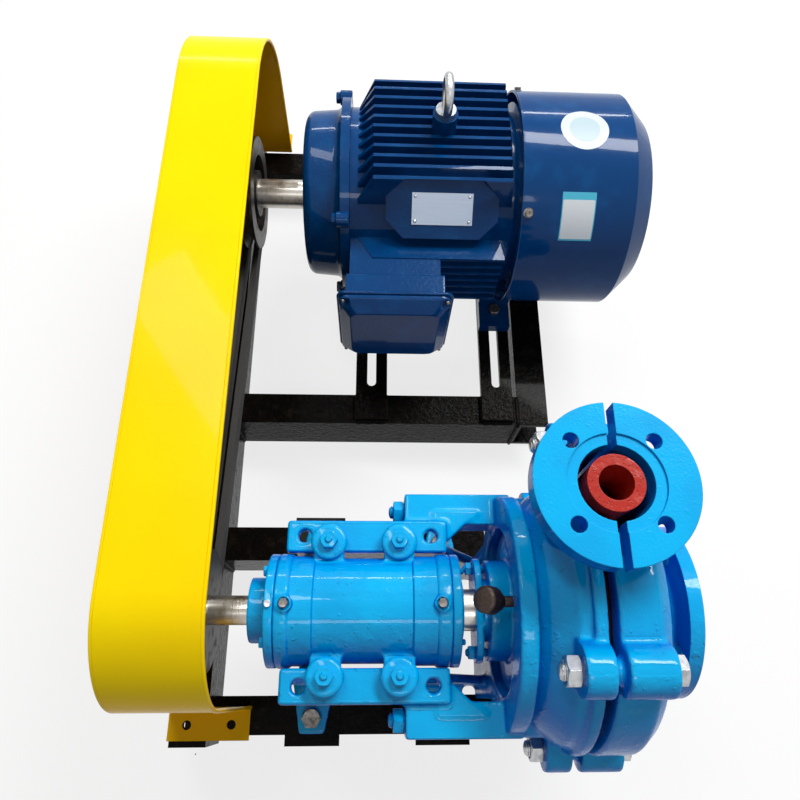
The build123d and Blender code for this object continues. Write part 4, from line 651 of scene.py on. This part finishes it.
def hex_form(origin, out, flats, height, bore=0.0):
    """A hexagon whose corners are cut by a cone at its outer end, and at both ends if it has a bore."""
    # The radius is half the flats, over the cosine of the angle to the middle of the nearest flat.
    side = flats / 2 / np.cos((TURN + pi / 6) % (pi / 3) - pi / 6)
    rim = flats / 2 * 0.96
    cut = (side - rim) * 0.58
    foot = cut if bore else 0 * cut
    flat = 0 * TURN
    along = [flat, flat, flat + height * 0.06, height * 0.06 + foot, height - cut, flat + height]
    radius = [flat + bore, flat + rim * 0.98, flat + rim * 0.98, side, side, flat + rim]
    if bore:
        lead = 0.06 * flats
        along += [flat + height, flat + height - lead]
        radius += [flat + bore + lead, flat + bore]
    else:
        along += [flat + height * 0.97, flat + height * 0.97]
        radius += [flat + rim * 0.80, flat]
    return turned_form(origin, out, along, radius, CORNERS, bool(bore))


def thread_form(origin, out, thread_d, length, pitch):
    """A rod whose radius dips by a triangle wave of height / pitch - angle / turn, with a domed tip."""
    steps = max(6, int(length / pitch * 6))
    along = np.linspace(0, length, steps)[:, None] + 0 * TURN
    wave = np.abs((along / pitch - TURN / (2 * pi)) % 1 * 2 - 1)
    radius = thread_d / 2 - 0.50 * pitch * wave
    tip = 0.22 * thread_d
    past = np.clip((along - length + tip) / tip, 0, 1)
    radius = radius * (1 - 0.30 * past ** 2.5)
    along = np.vstack([along[:1], along, along[-1:] + tip * 0.20, along[-1:] + tip * 0.26])
    radius = np.vstack([0 * radius[:1], radius, radius[-1:] * 0.62, 0 * radius[:1]])
    return turned_form(origin, out, along, radius, CORNERS)


def merged(node):
    """A bmesh copy of a CAD node with its doubled points merged."""
    shape = bmesh.new()
    shape.from_mesh(frame["nodes"][node].data)
    bmesh.ops.remove_doubles(shape, verts=shape.verts, dist=1e-6)
    return shape


def solids_of(node):
    """The low and high corner of each separate solid in a CAD node."""
    shape = merged(node)
    left, boxes = set(shape.verts), []
    while left:
        found, edge = [], [left.pop()]
        while edge:
            vert = edge.pop()
            found.append(vert.co[:])
            for link in vert.link_edges:
                other = link.other_vert(vert)
                if other in left:
                    left.remove(other)
                    edge.append(other)
        boxes.append((np.min(found, 0), np.max(found, 0)))
    shape.free()
    return boxes


def washer_form(top, down, reach, thread_d, thick):
    """A thick washer with a sloped rim, from its upper face down."""
    bore, reach = thread_d / 2, reach * WASHER_SPREAD
    return turned_form(top, down, np.array([0, 0, 0.20, 0.38, 1, 1, 0]) * thick,
                       [bore, reach * 0.82, reach * 0.95, reach, reach, bore, bore], 64)


def placed(point, axis, value):
    """A copy of a point with one coordinate replaced."""
    copy = point.copy()
    copy[axis] = value
    return copy


def dress_bolts(node, finish, axis, outward, thread_d, pitch, head=True, tip=False, flats=1.5):
    """Takes each bolt, stud, nut and washer of a node from its box, and makes it as it is cut in steel."""
    forms = []
    out = np.zeros(3)
    out[axis] = outward
    cross = (axis + 1) % 3
    for low, high in solids_of(node):
        base = (low + high) / 2
        near, far = (low[axis], high[axis]) if outward > 0 else (high[axis], low[axis])
        length, width = high[axis] - low[axis], high[cross] - low[cross]
        has_washer = width > WASHER_SHARE * thread_d
        if length > BOLT_SHARE * thread_d:
            seat = placed(base, axis, far - outward * (HEAD_SHARE * thread_d if head else 0.0))
            reach = abs(seat[axis] - near)
            if has_washer:
                forms.append(washer_form(seat, -out, width / 2, thread_d, WASHER_THICK))
            if head:
                bite = min(reach, BITE_SHARE * thread_d)
                neck = placed(seat, axis, seat[axis] - outward * (reach - bite))
                forms.append(hex_form(seat, out, flats * thread_d, HEAD_SHARE * thread_d))
                forms.append(turned_form(seat, -out, [0, 0, reach - bite, reach - bite],
                                         np.array([0, 1, 1, 0]) * (thread_d / 2 - 0.00005), 32))
                forms.append(thread_form(neck, -out, thread_d, bite - END_SHARE * thread_d, pitch))
            else:
                start = placed(base, axis, near)
                forms.append(thread_form(start, out, thread_d, length - END_SHARE * thread_d, pitch))
            if tip:
                top = placed(base, axis, far - outward * MM)
                forms.append(thread_form(top, out, thread_d * 0.62, TIP_H, pitch * 0.7))
        elif has_washer:
            forms.append(washer_form(placed(base, axis, far), -out, width / 2, thread_d, length))
        else:
            start, way = (far, -out) if head else (near, out)
            forms.append(hex_form(placed(base, axis, start), way, flats * thread_d, length, thread_d / 2))
    return build(node + "_cut", forms, finish, nodes=(node,))


# Shares of the thread's diameter: head height, threaded end, rest before the tip, and the length and the
# width from which a solid counts as a bolt and has a washer.
HEAD_SHARE, BITE_SHARE, END_SHARE = 0.64, 1.7, 0.06
BOLT_SHARE, WASHER_SHARE = 1.5, 2.2
WASHER_THICK, WASHER_SPREAD = 0.006, 1.10
TIP_H = 0.0028
dress_bolts("casing_bolts", "zinc_plate", 0, 1, 0.016, 0.0020)
dress_bolts("hold_down_bolts", "worn_steel", 2, 1, 0.016, 0.0020, flats=1.25)
dress_bolts("clamp_bolts", "azure_paint", 2, 1, 0.012, 0.00175, tip=True, flats=1.3)
dress_bolts("frame_studs", "azure_paint", 0, -1, 0.014, 0.0020, head=False)
dress_bolts("cover_screws", "azure_paint", 0, -1, 0.006, 0.0010)
dress_bolts("gland_studs", "azure_paint", 0, -1, 0.008, 0.00125, head=False)
dress_bolts("motor_foot_bolts", "worn_steel", 2, 1, 0.010, 0.0015)

# %% [markdown]
# Sand castings have no sharp inner corners: iron needs a fillet wherever two walls meet. The CAD solids
# meet at plain angles, so copies of them are rebuilt from small cubes of space, smoothed, and shown in
# their place. Each copy keeps the holes, the split and the faces of its node.

# %% Cast forms
def halved(shape, axis, limit, upper):
    """Cuts a bmesh across an axis, keeps its upper or its lower part, and closes the cut."""
    normal = Vector(np.eye(3)[axis])
    parts = shape.verts[:] + shape.edges[:] + shape.faces[:]
    cut = bmesh.ops.bisect_plane(shape, geom=parts, plane_co=normal * limit, plane_no=normal,
                                 clear_inner=upper, clear_outer=not upper)
    rim = [part for part in cut["geom_cut"] if isinstance(part, bmesh.types.BMEdge)]
    bmesh.ops.triangle_fill(shape, edges=rim, use_beauty=True, normal=-normal if upper else normal)
    return shape


def as_form(shape):
    """The points and faces of a bmesh, for build()."""
    shape.verts.index_update()
    form = ([v.co[:] for v in shape.verts], [[v.index for v in f.verts] for f in shape.faces])
    shape.free()
    return form


def softened(shape, voxel, passes):
    """A closed bmesh rebuilt in voxels and smoothed, as a mesh of its own."""
    mesh = bpy.data.meshes.new("rough")
    shape.to_mesh(mesh)
    shape.free()
    rough = bpy.data.objects.new("rough", mesh)
    bpy.context.scene.collection.objects.link(rough)
    remesh = rough.modifiers.new("remesh", "REMESH")
    remesh.mode, remesh.voxel_size, remesh.use_smooth_shade = "VOXEL", voxel, True
    smooth = rough.modifiers.new("smooth", "SMOOTH")
    smooth.factor, smooth.iterations = 0.5, passes
    cast = bpy.data.meshes.new_from_object(rough.evaluated_get(bpy.context.evaluated_depsgraph_get()))
    bpy.data.objects.remove(rough)
    return cast


def taper_feet(shape):
    """Draws the outer corners of the four feet towards their bolts."""
    bolts = [(low + high) / 2 for low, high in solids_of("hold_down_bolts")]
    edge = max(vert.co.y for vert in shape.verts)
    for vert in shape.verts:
        if abs(vert.co.y) > edge - 0.0015:
            bolt = min(bolts, key=lambda b: abs(b[0] - vert.co.x) + abs(b[1] - vert.co.y))
            vert.co.x += FOOT_TAPER * (bolt[0] - vert.co.x)


def cast_copy(node, voxel, passes, finish="azure_paint", machined=(), shaped=None):
    """A softened copy of a node. Beyond each (axis, limit) its own crisp faces stay, as turned on a lathe."""
    rough = merged(node)
    if shaped:
        shaped(rough)
    cast = softened(rough, voxel, passes)
    if not machined:
        return settle(node + "_cast", cast, finish, nodes=(node,))
    soft = bmesh.new()
    soft.from_mesh(cast)
    for axis, limit in machined:
        soft = halved(soft, axis, limit + OVERLAP, False)
    forms = [as_form(soft)] + [as_form(halved(merged(node), axis, limit, True)) for axis, limit in machined]
    return build(node + "_cast", forms, finish, nodes=(node,), crease=40)


FLANGE_H, OVERLAP = 0.0192, 0.0006
FLANGE_Z = side_of("cover_plate", 1, 2) - FLANGE_H
SUCTION_X = -0.0134
FOOT_TAPER = 0.42
cast_copy("frame_plate", 0.0022, 5, machined=((2, FLANGE_Z),))
cast_copy("cover_plate", 0.0022, 5, machined=((2, FLANGE_Z), (0, SUCTION_X)))
cast_copy("pump_base", 0.0024, 4, shaped=taper_feet)
cast_copy("bearing_housing", 0.0016, 4)
cast_copy("drive_end_cover", 0.0013, 2)
cast_copy("pump_end_cover", 0.0013, 2)
cast_copy("stuffing_box", 0.0016, 2)
cast_copy("gland", 0.0012, 2)
cast_copy("terminal_box", 0.0014, 4, "navy_paint")
cast_copy("terminal_lid", 0.0013, 3, "navy_paint")

# %% [markdown]
# The motor's drive-end shield is a deep cast drum with a rolled edge, and lugs on its flange take the
# bolts that hold it to the frame. It is turned from one profile in millimetres, outside and inside, so it
# stays hollow for the bearing and the windings.

# %% Motor end shield
SHAFT_R = 0.022
MOTOR_Y, MOTOR_Z = middle_of("motor_shaft")[1], side_of("motor_shaft", 0, 2) + SHAFT_R
AXIS = np.array([0.0, MOTOR_Y, MOTOR_Z])
LUG_ANGLES = (38, 142, 218, 322)
LUG_R, LUG_X = 0.1235, -0.347
LUG_HEX, LUG_HEX_H = 0.013, 0.0053


def arc(x, r, radius, start, end, steps=8):
    """Points on an arc round (x, r), from one angle to another in degrees."""
    turn = np.radians(np.linspace(start, end, steps))
    return list(zip(x + radius * np.cos(turn), r + radius * np.sin(turn)))


def motor_ring(profile):
    """A closed profile of (x, radius) in mm, turned about the motor's axis."""
    x, r = np.array(profile).T * MM
    return turned_form(AXIS, (1, 0, 0), x, r, 96, True)


SHIELD = [
    (-391, 19.6), (-391, 46), *arc(-388, 46, 3, 180, 90), (-387, 60), (-389, 66),
    *arc(-377, 94, 12, 180, 95), (-352, 108), *arc(-352, 117, 9, 270, 350)[1:],
    (-342, 124), (-331, 124), (-331, 98), (-326, 98), (-326, 91), (-343, 91), (-372, 91),
    (-376, 47), (-362, 47), (-362, 40.1), (-380, 40.1), (-380, 19.6),
]


def lug_and_bolt(angle):
    """A flange lug with a small bolt through it, at an angle about the motor's axis."""
    out = np.array([0, cos(radians(angle)), sin(radians(angle))])
    seat = AXIS + out * LUG_R + (LUG_X, 0, 0)
    lug = turned_form(seat, (1, 0, 0), np.array([0, 0, 1, 15, 16, 16]) * MM,
                      np.array([0, 8.5, 9.5, 9.5, 8.5, 0]) * MM, 32)
    return [lug, hex_form(seat, (-1, 0, 0), LUG_HEX, LUG_HEX_H)]


build("drive_shield_drum", [motor_ring(SHIELD)] + [form for a in LUG_ANGLES for form in lug_and_bolt(a)],
      "navy_paint", nodes=("drive_end_shield",), crease=28)

# %% [markdown]
# Cooling fins are cast with sloping ends, so that they leave the mould. The frame's solid has square ends.
# On a merged copy, each end point of a fin moves inwards by a share of its height above the barrel.

# %% Fins with sloping ends
BARREL_R = 0.112
FIN_FOOT, FIN_TOP = 0.0015, 0.020
FIN_ENDS = ((-0.321, 0.95), (-0.132, -0.30))

fins = merged("motor_frame")
for vert in fins.verts:
    height = sqrt((vert.co.y - MOTOR_Y) ** 2 + (vert.co.z - MOTOR_Z) ** 2) - BARREL_R
    for end, slope in FIN_ENDS:
        if abs(vert.co.x - end) < 2e-4 and height > FIN_FOOT:
            vert.co.x += slope * min(height, FIN_TOP)
build("motor_frame_fins", [as_form(fins)], "navy_paint", nodes=("motor_frame",), crease=30)

# %% [markdown]
# A blank round sticker and a blank paper label lie on the fan cover. Each is a thin patch bent round the
# cover: a distance from its middle is turned into a shift u along the axis and an angle v / radius about
# it. Its underside is sunk a little, so no gap shows.

# %% Labels on the fan cover
COVER_R = 0.1375
PAPER_SUNK = 0.0002


def bent_patch(x, angle, outline, lift=0.0, thick=0.00012, rings=6, columns=72):
    """A thin patch bent round the motor's axis, whose outline gives its reach in each direction."""
    turn = np.linspace(0, 2 * pi, columns, endpoint=False)
    reach = outline(turn)
    share = np.concatenate([np.linspace(0, 1, rings), [1, 0]])[:, None]
    u, v = share * reach * np.cos(turn), share * reach * np.sin(turn)
    height = np.where(np.arange(rings + 2) < rings, thick, -PAPER_SUNK)[:, None]
    radius = COVER_R + lift + height + 0 * u
    bend = radians(angle) - v / COVER_R
    points = np.stack([x + u, MOTOR_Y + radius * np.cos(bend), MOTOR_Z + radius * np.sin(bend)], -1)
    return points.reshape(-1, 3), quads(rings + 2, columns)[:, ::-1]


def oblong(width, height):
    """The reach to an oblong's edge: the nearer of its two pairs of sides."""
    return lambda turn: np.minimum(width / 2 / np.maximum(np.abs(np.cos(turn)), 1e-6),
                                   height / 2 / np.maximum(np.abs(np.sin(turn)), 1e-6))


def disc(radius):
    """The reach to a round edge, the same on every side."""
    return lambda turn: radius + 0 * turn


def paper(name, colour):
    """Printed paper: a plain tone with faint fibres."""
    paint = Paint(name)
    fibre = paint.noise(0.0012, 3)
    shade = tuple(c * 0.86 for c in colour)
    return paint.two_tone(fibre * 0.5, colour, shade, fibre, 0.00003, Roughness=0.42)


PAPERS = (
    # piece, tone, colour, place along the axis, angle about it, outline, lift
    ("round_sticker", "paper_shaded", (0.50, 0.56, 0.58), -0.0485, 91, disc(0.0292), 0.0),
    ("round_sticker_middle", "paper_pale", (0.36, 0.47, 0.52), -0.0485, 91, disc(0.0185), 0.0001),
    ("label_border", "paper_cyan", (0.05, 0.42, 0.58), -0.0555, 136.5, oblong(0.0410, 0.0580), 0.0),
    ("label_blank", "paper_white", (0.66, 0.70, 0.72), -0.0555, 137.9, oblong(0.0385, 0.0470), 0.0001),
)
for name, tone, colour, x, angle, outline, lift in PAPERS:
    FINISHES[tone] = paper(tone, colour)
    build(name, [bent_patch(x, angle, outline, lift)], tone, "motor")

# %% [markdown]
# The fan cover is rolled sheet: its front edge is turned into a round bead, and each of its hexagon
# screws stands on a low round washer. Small domed screws hold the terminal lid and the blank nameplate.

# %% Fan cover edge and nameplate screws
COVER_X = side_of("fan_cover", 0, 0)


def bead_ring(x, radius, thick, sides=10):
    """A ring round the motor's axis: a small circle carried round a large one."""
    turn = np.linspace(0, 2 * pi, sides, endpoint=False)
    return turned_form(AXIS, (1, 0, 0), x - thick * np.cos(turn), radius + thick * np.sin(turn), 96, True)


def dome(origin, out, radius, height, columns=24):
    """A low round head: the radius falls as the cosine while the height climbs as the sine."""
    climb = np.radians(np.linspace(0, 90, 6))
    return turned_form(origin, out, np.concatenate([[0], height * np.sin(climb)]),
                       np.concatenate([[0], radius * np.cos(climb)]), columns)


build("fan_cover_bead", [bead_ring(COVER_X + 0.0009, COVER_R - 0.0002, 0.0013)], "navy_paint", "motor")

PLATE_LOW, PLATE_HIGH = (np.array(c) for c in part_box("nameplate"))
PLATE_MIDDLE = (PLATE_LOW + PLATE_HIGH) / 2
PLATE_OUT = np.array([0, -1, 1]) / sqrt(2)
PLATE_UP = np.array([0, 1, 1]) / sqrt(2)
PLATE_SCREWS = (0.0330, 0.0150)
COVER_HEX, COVER_HEX_H = 0.0078, 0.0036
LID_HEAD = (0.0024, 0.0020)
PLATE_HEAD = (0.0022, 0.0014)
heads = []
for low, high in solids_of("motor_cover_screws"):
    middle = (low + high) / 2
    away = middle - AXIS
    away[0] = 0
    if np.linalg.norm(away) > COVER_R - 0.004 and middle[0] > PLATE_HIGH[0]:
        away /= np.linalg.norm(away)
        seat = np.array([middle[0], *(AXIS + away * (COVER_R - 0.0004))[1:]])
        heads.append(turned_form(seat, away, [0, 0, 0.0008, 0.0011, 0.0011],
                                 [0, 0.0062, 0.0060, 0.0054, 0], 32))
        heads.append(hex_form(seat + away * MM, away, COVER_HEX, COVER_HEX_H))
    else:
        heads.append(dome(middle, PLATE_OUT, *LID_HEAD, 16))
build("motor_cover_screws_cut", heads, "worn_steel", nodes=("motor_cover_screws",))
plate_spots = [PLATE_MIDDLE + np.array([a * PLATE_SCREWS[0], 0, 0]) + b * PLATE_SCREWS[1] * PLATE_UP
               for a in (-1, 1) for b in (-1, 1)]
build("nameplate_screws", [dome(spot + 0.0004 * PLATE_OUT, PLATE_OUT, *PLATE_HEAD) for spot in plate_spots],
      "zinc_plate", "motor")

# %% [markdown]
# The terminal lid has a flared lip where it meets its box, and the bearing housing has a raised band at
# each end. The lip is a round bead carried round a rectangle with round corners.

# %% Lid lip and housing bands
LIP_R = 0.0024
LIP_CORNER = 0.009
LIP_OUT, LIP_IN = 0.0006, 0.0030
BAND_ENDS = ((-0.3845, -0.3520), (-0.2590, -0.2255))
BAND_R = np.array([46.0, 50.5, 52.0, 52.0, 50.5, 46.0]) * MM
BAND_SLOPE = 0.0014


def lip_loop(low, high, steps=8, sides=10):
    """A bead round the lid's open edge, in a plane square to Y."""
    half = (high - low)[[0, 2]] / 2 - LIP_CORNER + LIP_OUT
    middle = (low + high)[[0, 2]] / 2
    turn = np.concatenate([np.linspace(q, q + 90, steps) for q in (0, 90, 180, 270)])
    corner = np.repeat([(1, 1), (-1, 1), (-1, -1), (1, -1)], steps, axis=0)
    away = np.stack([np.cos(np.radians(turn)), np.sin(np.radians(turn))], -1)
    path = middle + corner * half + LIP_CORNER * away
    round_it = np.linspace(0, 2 * pi, sides, endpoint=False)
    xz = path[:, None, :] + LIP_R * np.cos(round_it)[None, :, None] * away[:, None, :]
    y = np.broadcast_to(high[1] - LIP_IN - LIP_R * np.sin(round_it), xz.shape[:2])
    points = np.stack([xz[..., 0], y, xz[..., 1]], -1)
    return points.reshape(-1, 3), quads(len(path), sides, True)


build("terminal_lid_lip", [lip_loop(*(np.array(c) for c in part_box("terminal_lid")))], "navy_paint", "motor",
      crease=80)
bands = [turned_form((0, 0, 0), (1, 0, 0), [a, a, a + BAND_SLOPE, b - BAND_SLOPE, b, b], BAND_R, 96, True)
         for a, b in BAND_ENDS]
build("housing_bands", bands, "azure_paint", "bearing_carrier")

# %% [markdown]
# The grease cup is screwed down by hand, so its cap has a knurled rim: a fine wave in the radius of one
# narrow band. The housing's grease plugs and the plug in its drive-end cover are small hexagons.

# %% Grease cup and plugs
CUP = next(joint for joint in frame["joints"] if joint["name"] == "cap_turn")
CUP_AXIS = np.array(CUP["axis"], float)
CUP_PLACE = np.array(CUP["pos_m"], float)
KNURLS, KNURL_DEPTH = 45, 0.00035
PLUG_SEAT = 0.0555
PLUG_HEX, PLUG_HEX_H = 0.0076, 0.0050
COVER_PLUG = (-0.3925, 0.0, 0.0532)
COVER_PLUG_HEX, COVER_PLUG_H = 0.0062, 0.0040


def knurled_cap():
    """Inner floor, inner wall, rim, knurled band, wall and crowned top, from one profile in mm."""
    angle = np.linspace(0, 2 * pi, 4 * KNURLS, endpoint=False)
    along = np.array([21.5, 21.5, 8, 8, 8.6, 9.4, 12, 12.6, 20, 21.2, 22.6, 23.6, 24, 24.2]) * MM
    radius = np.array([0, 9.1, 9.1, 11.6, 12.3, 12.5, 12.5, 12.2, 12.2, 12.0, 11.0, 9.6, 8.6, 0]) * MM
    depth = np.where((along > 0.0088) & (along < 0.0122), KNURL_DEPTH, 0.0)[:, None]
    wave = (1 + np.cos(KNURLS * angle)) / 2
    return turned_form(CUP_PLACE, CUP_AXIS, along, radius[:, None] - depth * wave, 4 * KNURLS)


build("grease_cup_cap_knurled", [knurled_cap()], "brown_metal", nodes=("grease_cup_cap",), crease=50)
plugs = [hex_form(placed((low + high) / 2, 2, PLUG_SEAT), (0, 0, 1), PLUG_HEX, PLUG_HEX_H)
         for low, high in solids_of("grease_plugs") if high[2] - low[2] > 4 * MM]
build("grease_plugs_cut", plugs, "worn_steel", nodes=("grease_plugs",))
build("cover_plug", [hex_form(COVER_PLUG, (0, 0, 1), COVER_PLUG_HEX, COVER_PLUG_H)], "zinc_plate",
      "bearing_carrier")

# %% [markdown]
# The skid is welded by hand. A weld bead is a tube whose radius swells and shrinks with each ripple of the
# weld pool, sunk half into the corner that it fills. Small beads of spatter lie about the joints, but
# none on the slide bars, where the motor's feet move.

# %% Welds and spatter
def weld_bead(start, end, across=0.0036, deep=0.0026, ripple=0.0045, sides=10):
    """A tube along a line, swelling as 0.84 + 0.16 * |sin(pi * s / ripple)|, closed at both ends."""
    start, end = np.array(start, float), np.array(end, float)
    length = np.linalg.norm(end - start)
    steps = max(12, int(length / ripple * 5))
    along = np.linspace(0, length, steps)
    swell = 0.84 + 0.16 * np.abs(np.sin(pi * along / ripple)) + 0.05 * np.sin(along * 410.0)
    swell[0] = swell[-1] = 0.0
    swell[1] *= 0.7
    swell[-2] *= 0.7
    side, up, out = axes_of(end - start)
    turn = np.linspace(0, 2 * pi, sides, endpoint=False)
    ring = across * np.cos(turn)[:, None] * side + deep * np.sin(turn)[:, None] * up
    points = start + along[:, None, None] * out + swell[:, None, None] * ring
    return points.reshape(-1, 3), quads(steps, sides)


RAIL_TOP = side_of("left_rail", 1, 2)
RAIL_LEFT, RAIL_X = side_of("left_rail", 0, 0), side_of("left_rail", 1, 0)
RIGHT_X = side_of("right_rail", 0, 0)
CHANNEL_H = RAIL_TOP - side_of("left_rail", 0, 2)
MEMBER_ENDS = {"front_cross_member": (RAIL_X,), "pump_cross_member": (RAIL_X,),
               "motor_cross_member": (RAIL_X, RIGHT_X), "rear_cross_member": (RAIL_X, RIGHT_X)}
MEMBER_Y = (side_of("motor_cross_member", 0, 1), side_of("motor_cross_member", 1, 1))
BAR_Y = (side_of("slide_bars", 0, 1), side_of("slide_bars", 1, 1))
BARS = solids_of("slide_bars")
BAR_WELD = 0.0036
SPATTER_Y = (-0.10, 0.10, 0.295, 0.72)
SPATTER_EDGE, SPATTER_BAR = 0.002, 0.003

welds = []
for member, ends in MEMBER_ENDS.items():
    y0, y1 = side_of(member, 0, 1), side_of(member, 1, 1)
    for x in ends:
        welds.append(weld_bead((x, y0, RAIL_TOP - 0.0008), (x, y1, RAIL_TOP - 0.0008)))
        welds.append(weld_bead((x, y0, RAIL_TOP - MM), (x, y0, RAIL_TOP - CHANNEL_H + 2 * MM)))
foot = RAIL_TOP + MM
for low, high in BARS:
    for y in BAR_Y:
        welds.append(weld_bead((low[0], y, foot), (high[0], y, foot), 0.0050, BAR_WELD))
    for x in (low[0], high[0]):
        welds.append(weld_bead((x, BAR_Y[0], foot), (x, MEMBER_Y[1], foot), BAR_WELD, BAR_WELD))
build("skid_welds", welds, "black_frame", "root", crease=60)


def spatter(count, seed=7):
    """Drops of weld metal, thickest near the joints: low domes on the top faces."""
    chance = np.random.default_rng(seed)
    spots = [(RAIL_X - 0.022, y) for y in SPATTER_Y] + [(low[0] + 0.02, 0.296) for low, high in BARS]
    forms = []
    for x, y in spots:
        for _ in range(count):
            px, py = x + chance.normal(0, 0.018), y + chance.normal(0, 0.020)
            on_rail = RAIL_LEFT + SPATTER_EDGE < px < RAIL_X - SPATTER_EDGE
            on_member = MEMBER_Y[0] + SPATTER_EDGE < py < MEMBER_Y[1] - SPATTER_EDGE
            on_bar = any(low[0] - SPATTER_BAR < px < high[0] + SPATTER_BAR for low, high in BARS)
            if on_rail or (on_member and px > RAIL_X and not on_bar):
                size = 0.0004 + 0.0009 * chance.random() ** 2
                forms.append(dome((px, py, RAIL_TOP - 0.0001), (0, 0, 1), size, size * 0.8, 8))
    return forms


build("weld_spatter", spatter(42), "black_frame", "root", crease=80)

# %% [markdown]
# The guard's band is hemmed: its open edge is folded over a wire, which keeps the sheet stiff and safe
# to touch. The hem follows the same two straights and two corners as the sheet.

# %% Guard hem
GUARD_LOW, GUARD_HIGH = (np.array(c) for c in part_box("guard_band"))
FRONT_R, BACK_R = 0.096, 0.150
HEM_R, HEM_INSET = 0.0022, 0.0014
HEM_X = GUARD_HIGH[0] - 0.0006


def hem_path(inset, steps=28):
    """The hood's outline in the YZ plane: up the front, round both corners and down the back."""
    front, back, top = GUARD_LOW[1] + inset, GUARD_HIGH[1] - inset, GUARD_HIGH[2] - inset
    first = arc(front + FRONT_R, top - FRONT_R, FRONT_R, 180, 90, steps)
    last = arc(back - BACK_R, top - BACK_R, BACK_R, 90, 0, steps)
    return np.array([(front, GUARD_LOW[2] + MM), *first, *last, (back, GUARD_LOW[2] + MM)])


def tube_along(path, x, radius, sides=12):
    """A round tube along a path in the YZ plane: at each point a circle square to the path's direction."""
    ahead = np.gradient(path, axis=0)
    ahead /= np.linalg.norm(ahead, axis=1)[:, None]
    normal = np.stack([-ahead[:, 1], ahead[:, 0]], -1)
    turn = np.linspace(0, 2 * pi, sides, endpoint=False)
    yz = path[:, None, :] + radius * np.sin(turn)[None, :, None] * normal[:, None, :]
    xs = x + radius * np.cos(turn)[None, :] + 0 * path[:, :1]
    points = np.concatenate([xs[..., None], yz], -1)
    first, last = (np.repeat(np.array([[x, *path[i]]]), sides, 0)[None] for i in (0, -1))
    points = np.concatenate([first, points, last])
    return points.reshape(-1, 3), quads(len(path) + 2, sides)


build("guard_hem", [tube_along(hem_path(HEM_INSET), HEM_X, HEM_R)], "yellow_paint", "root", crease=80)

# %% [markdown]
# When the motor slides, the belts have to keep to both pulleys. Here the loop is a plain copy of the CAD
# belts, on neither body, with its place baked into its points.

# %% Belts between two bodies
belts = build("drive_belts_loop", [as_form(merged("drive_belts"))], "belt_rubber", "blended",
              ("drive_belts",))
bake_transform(belts)
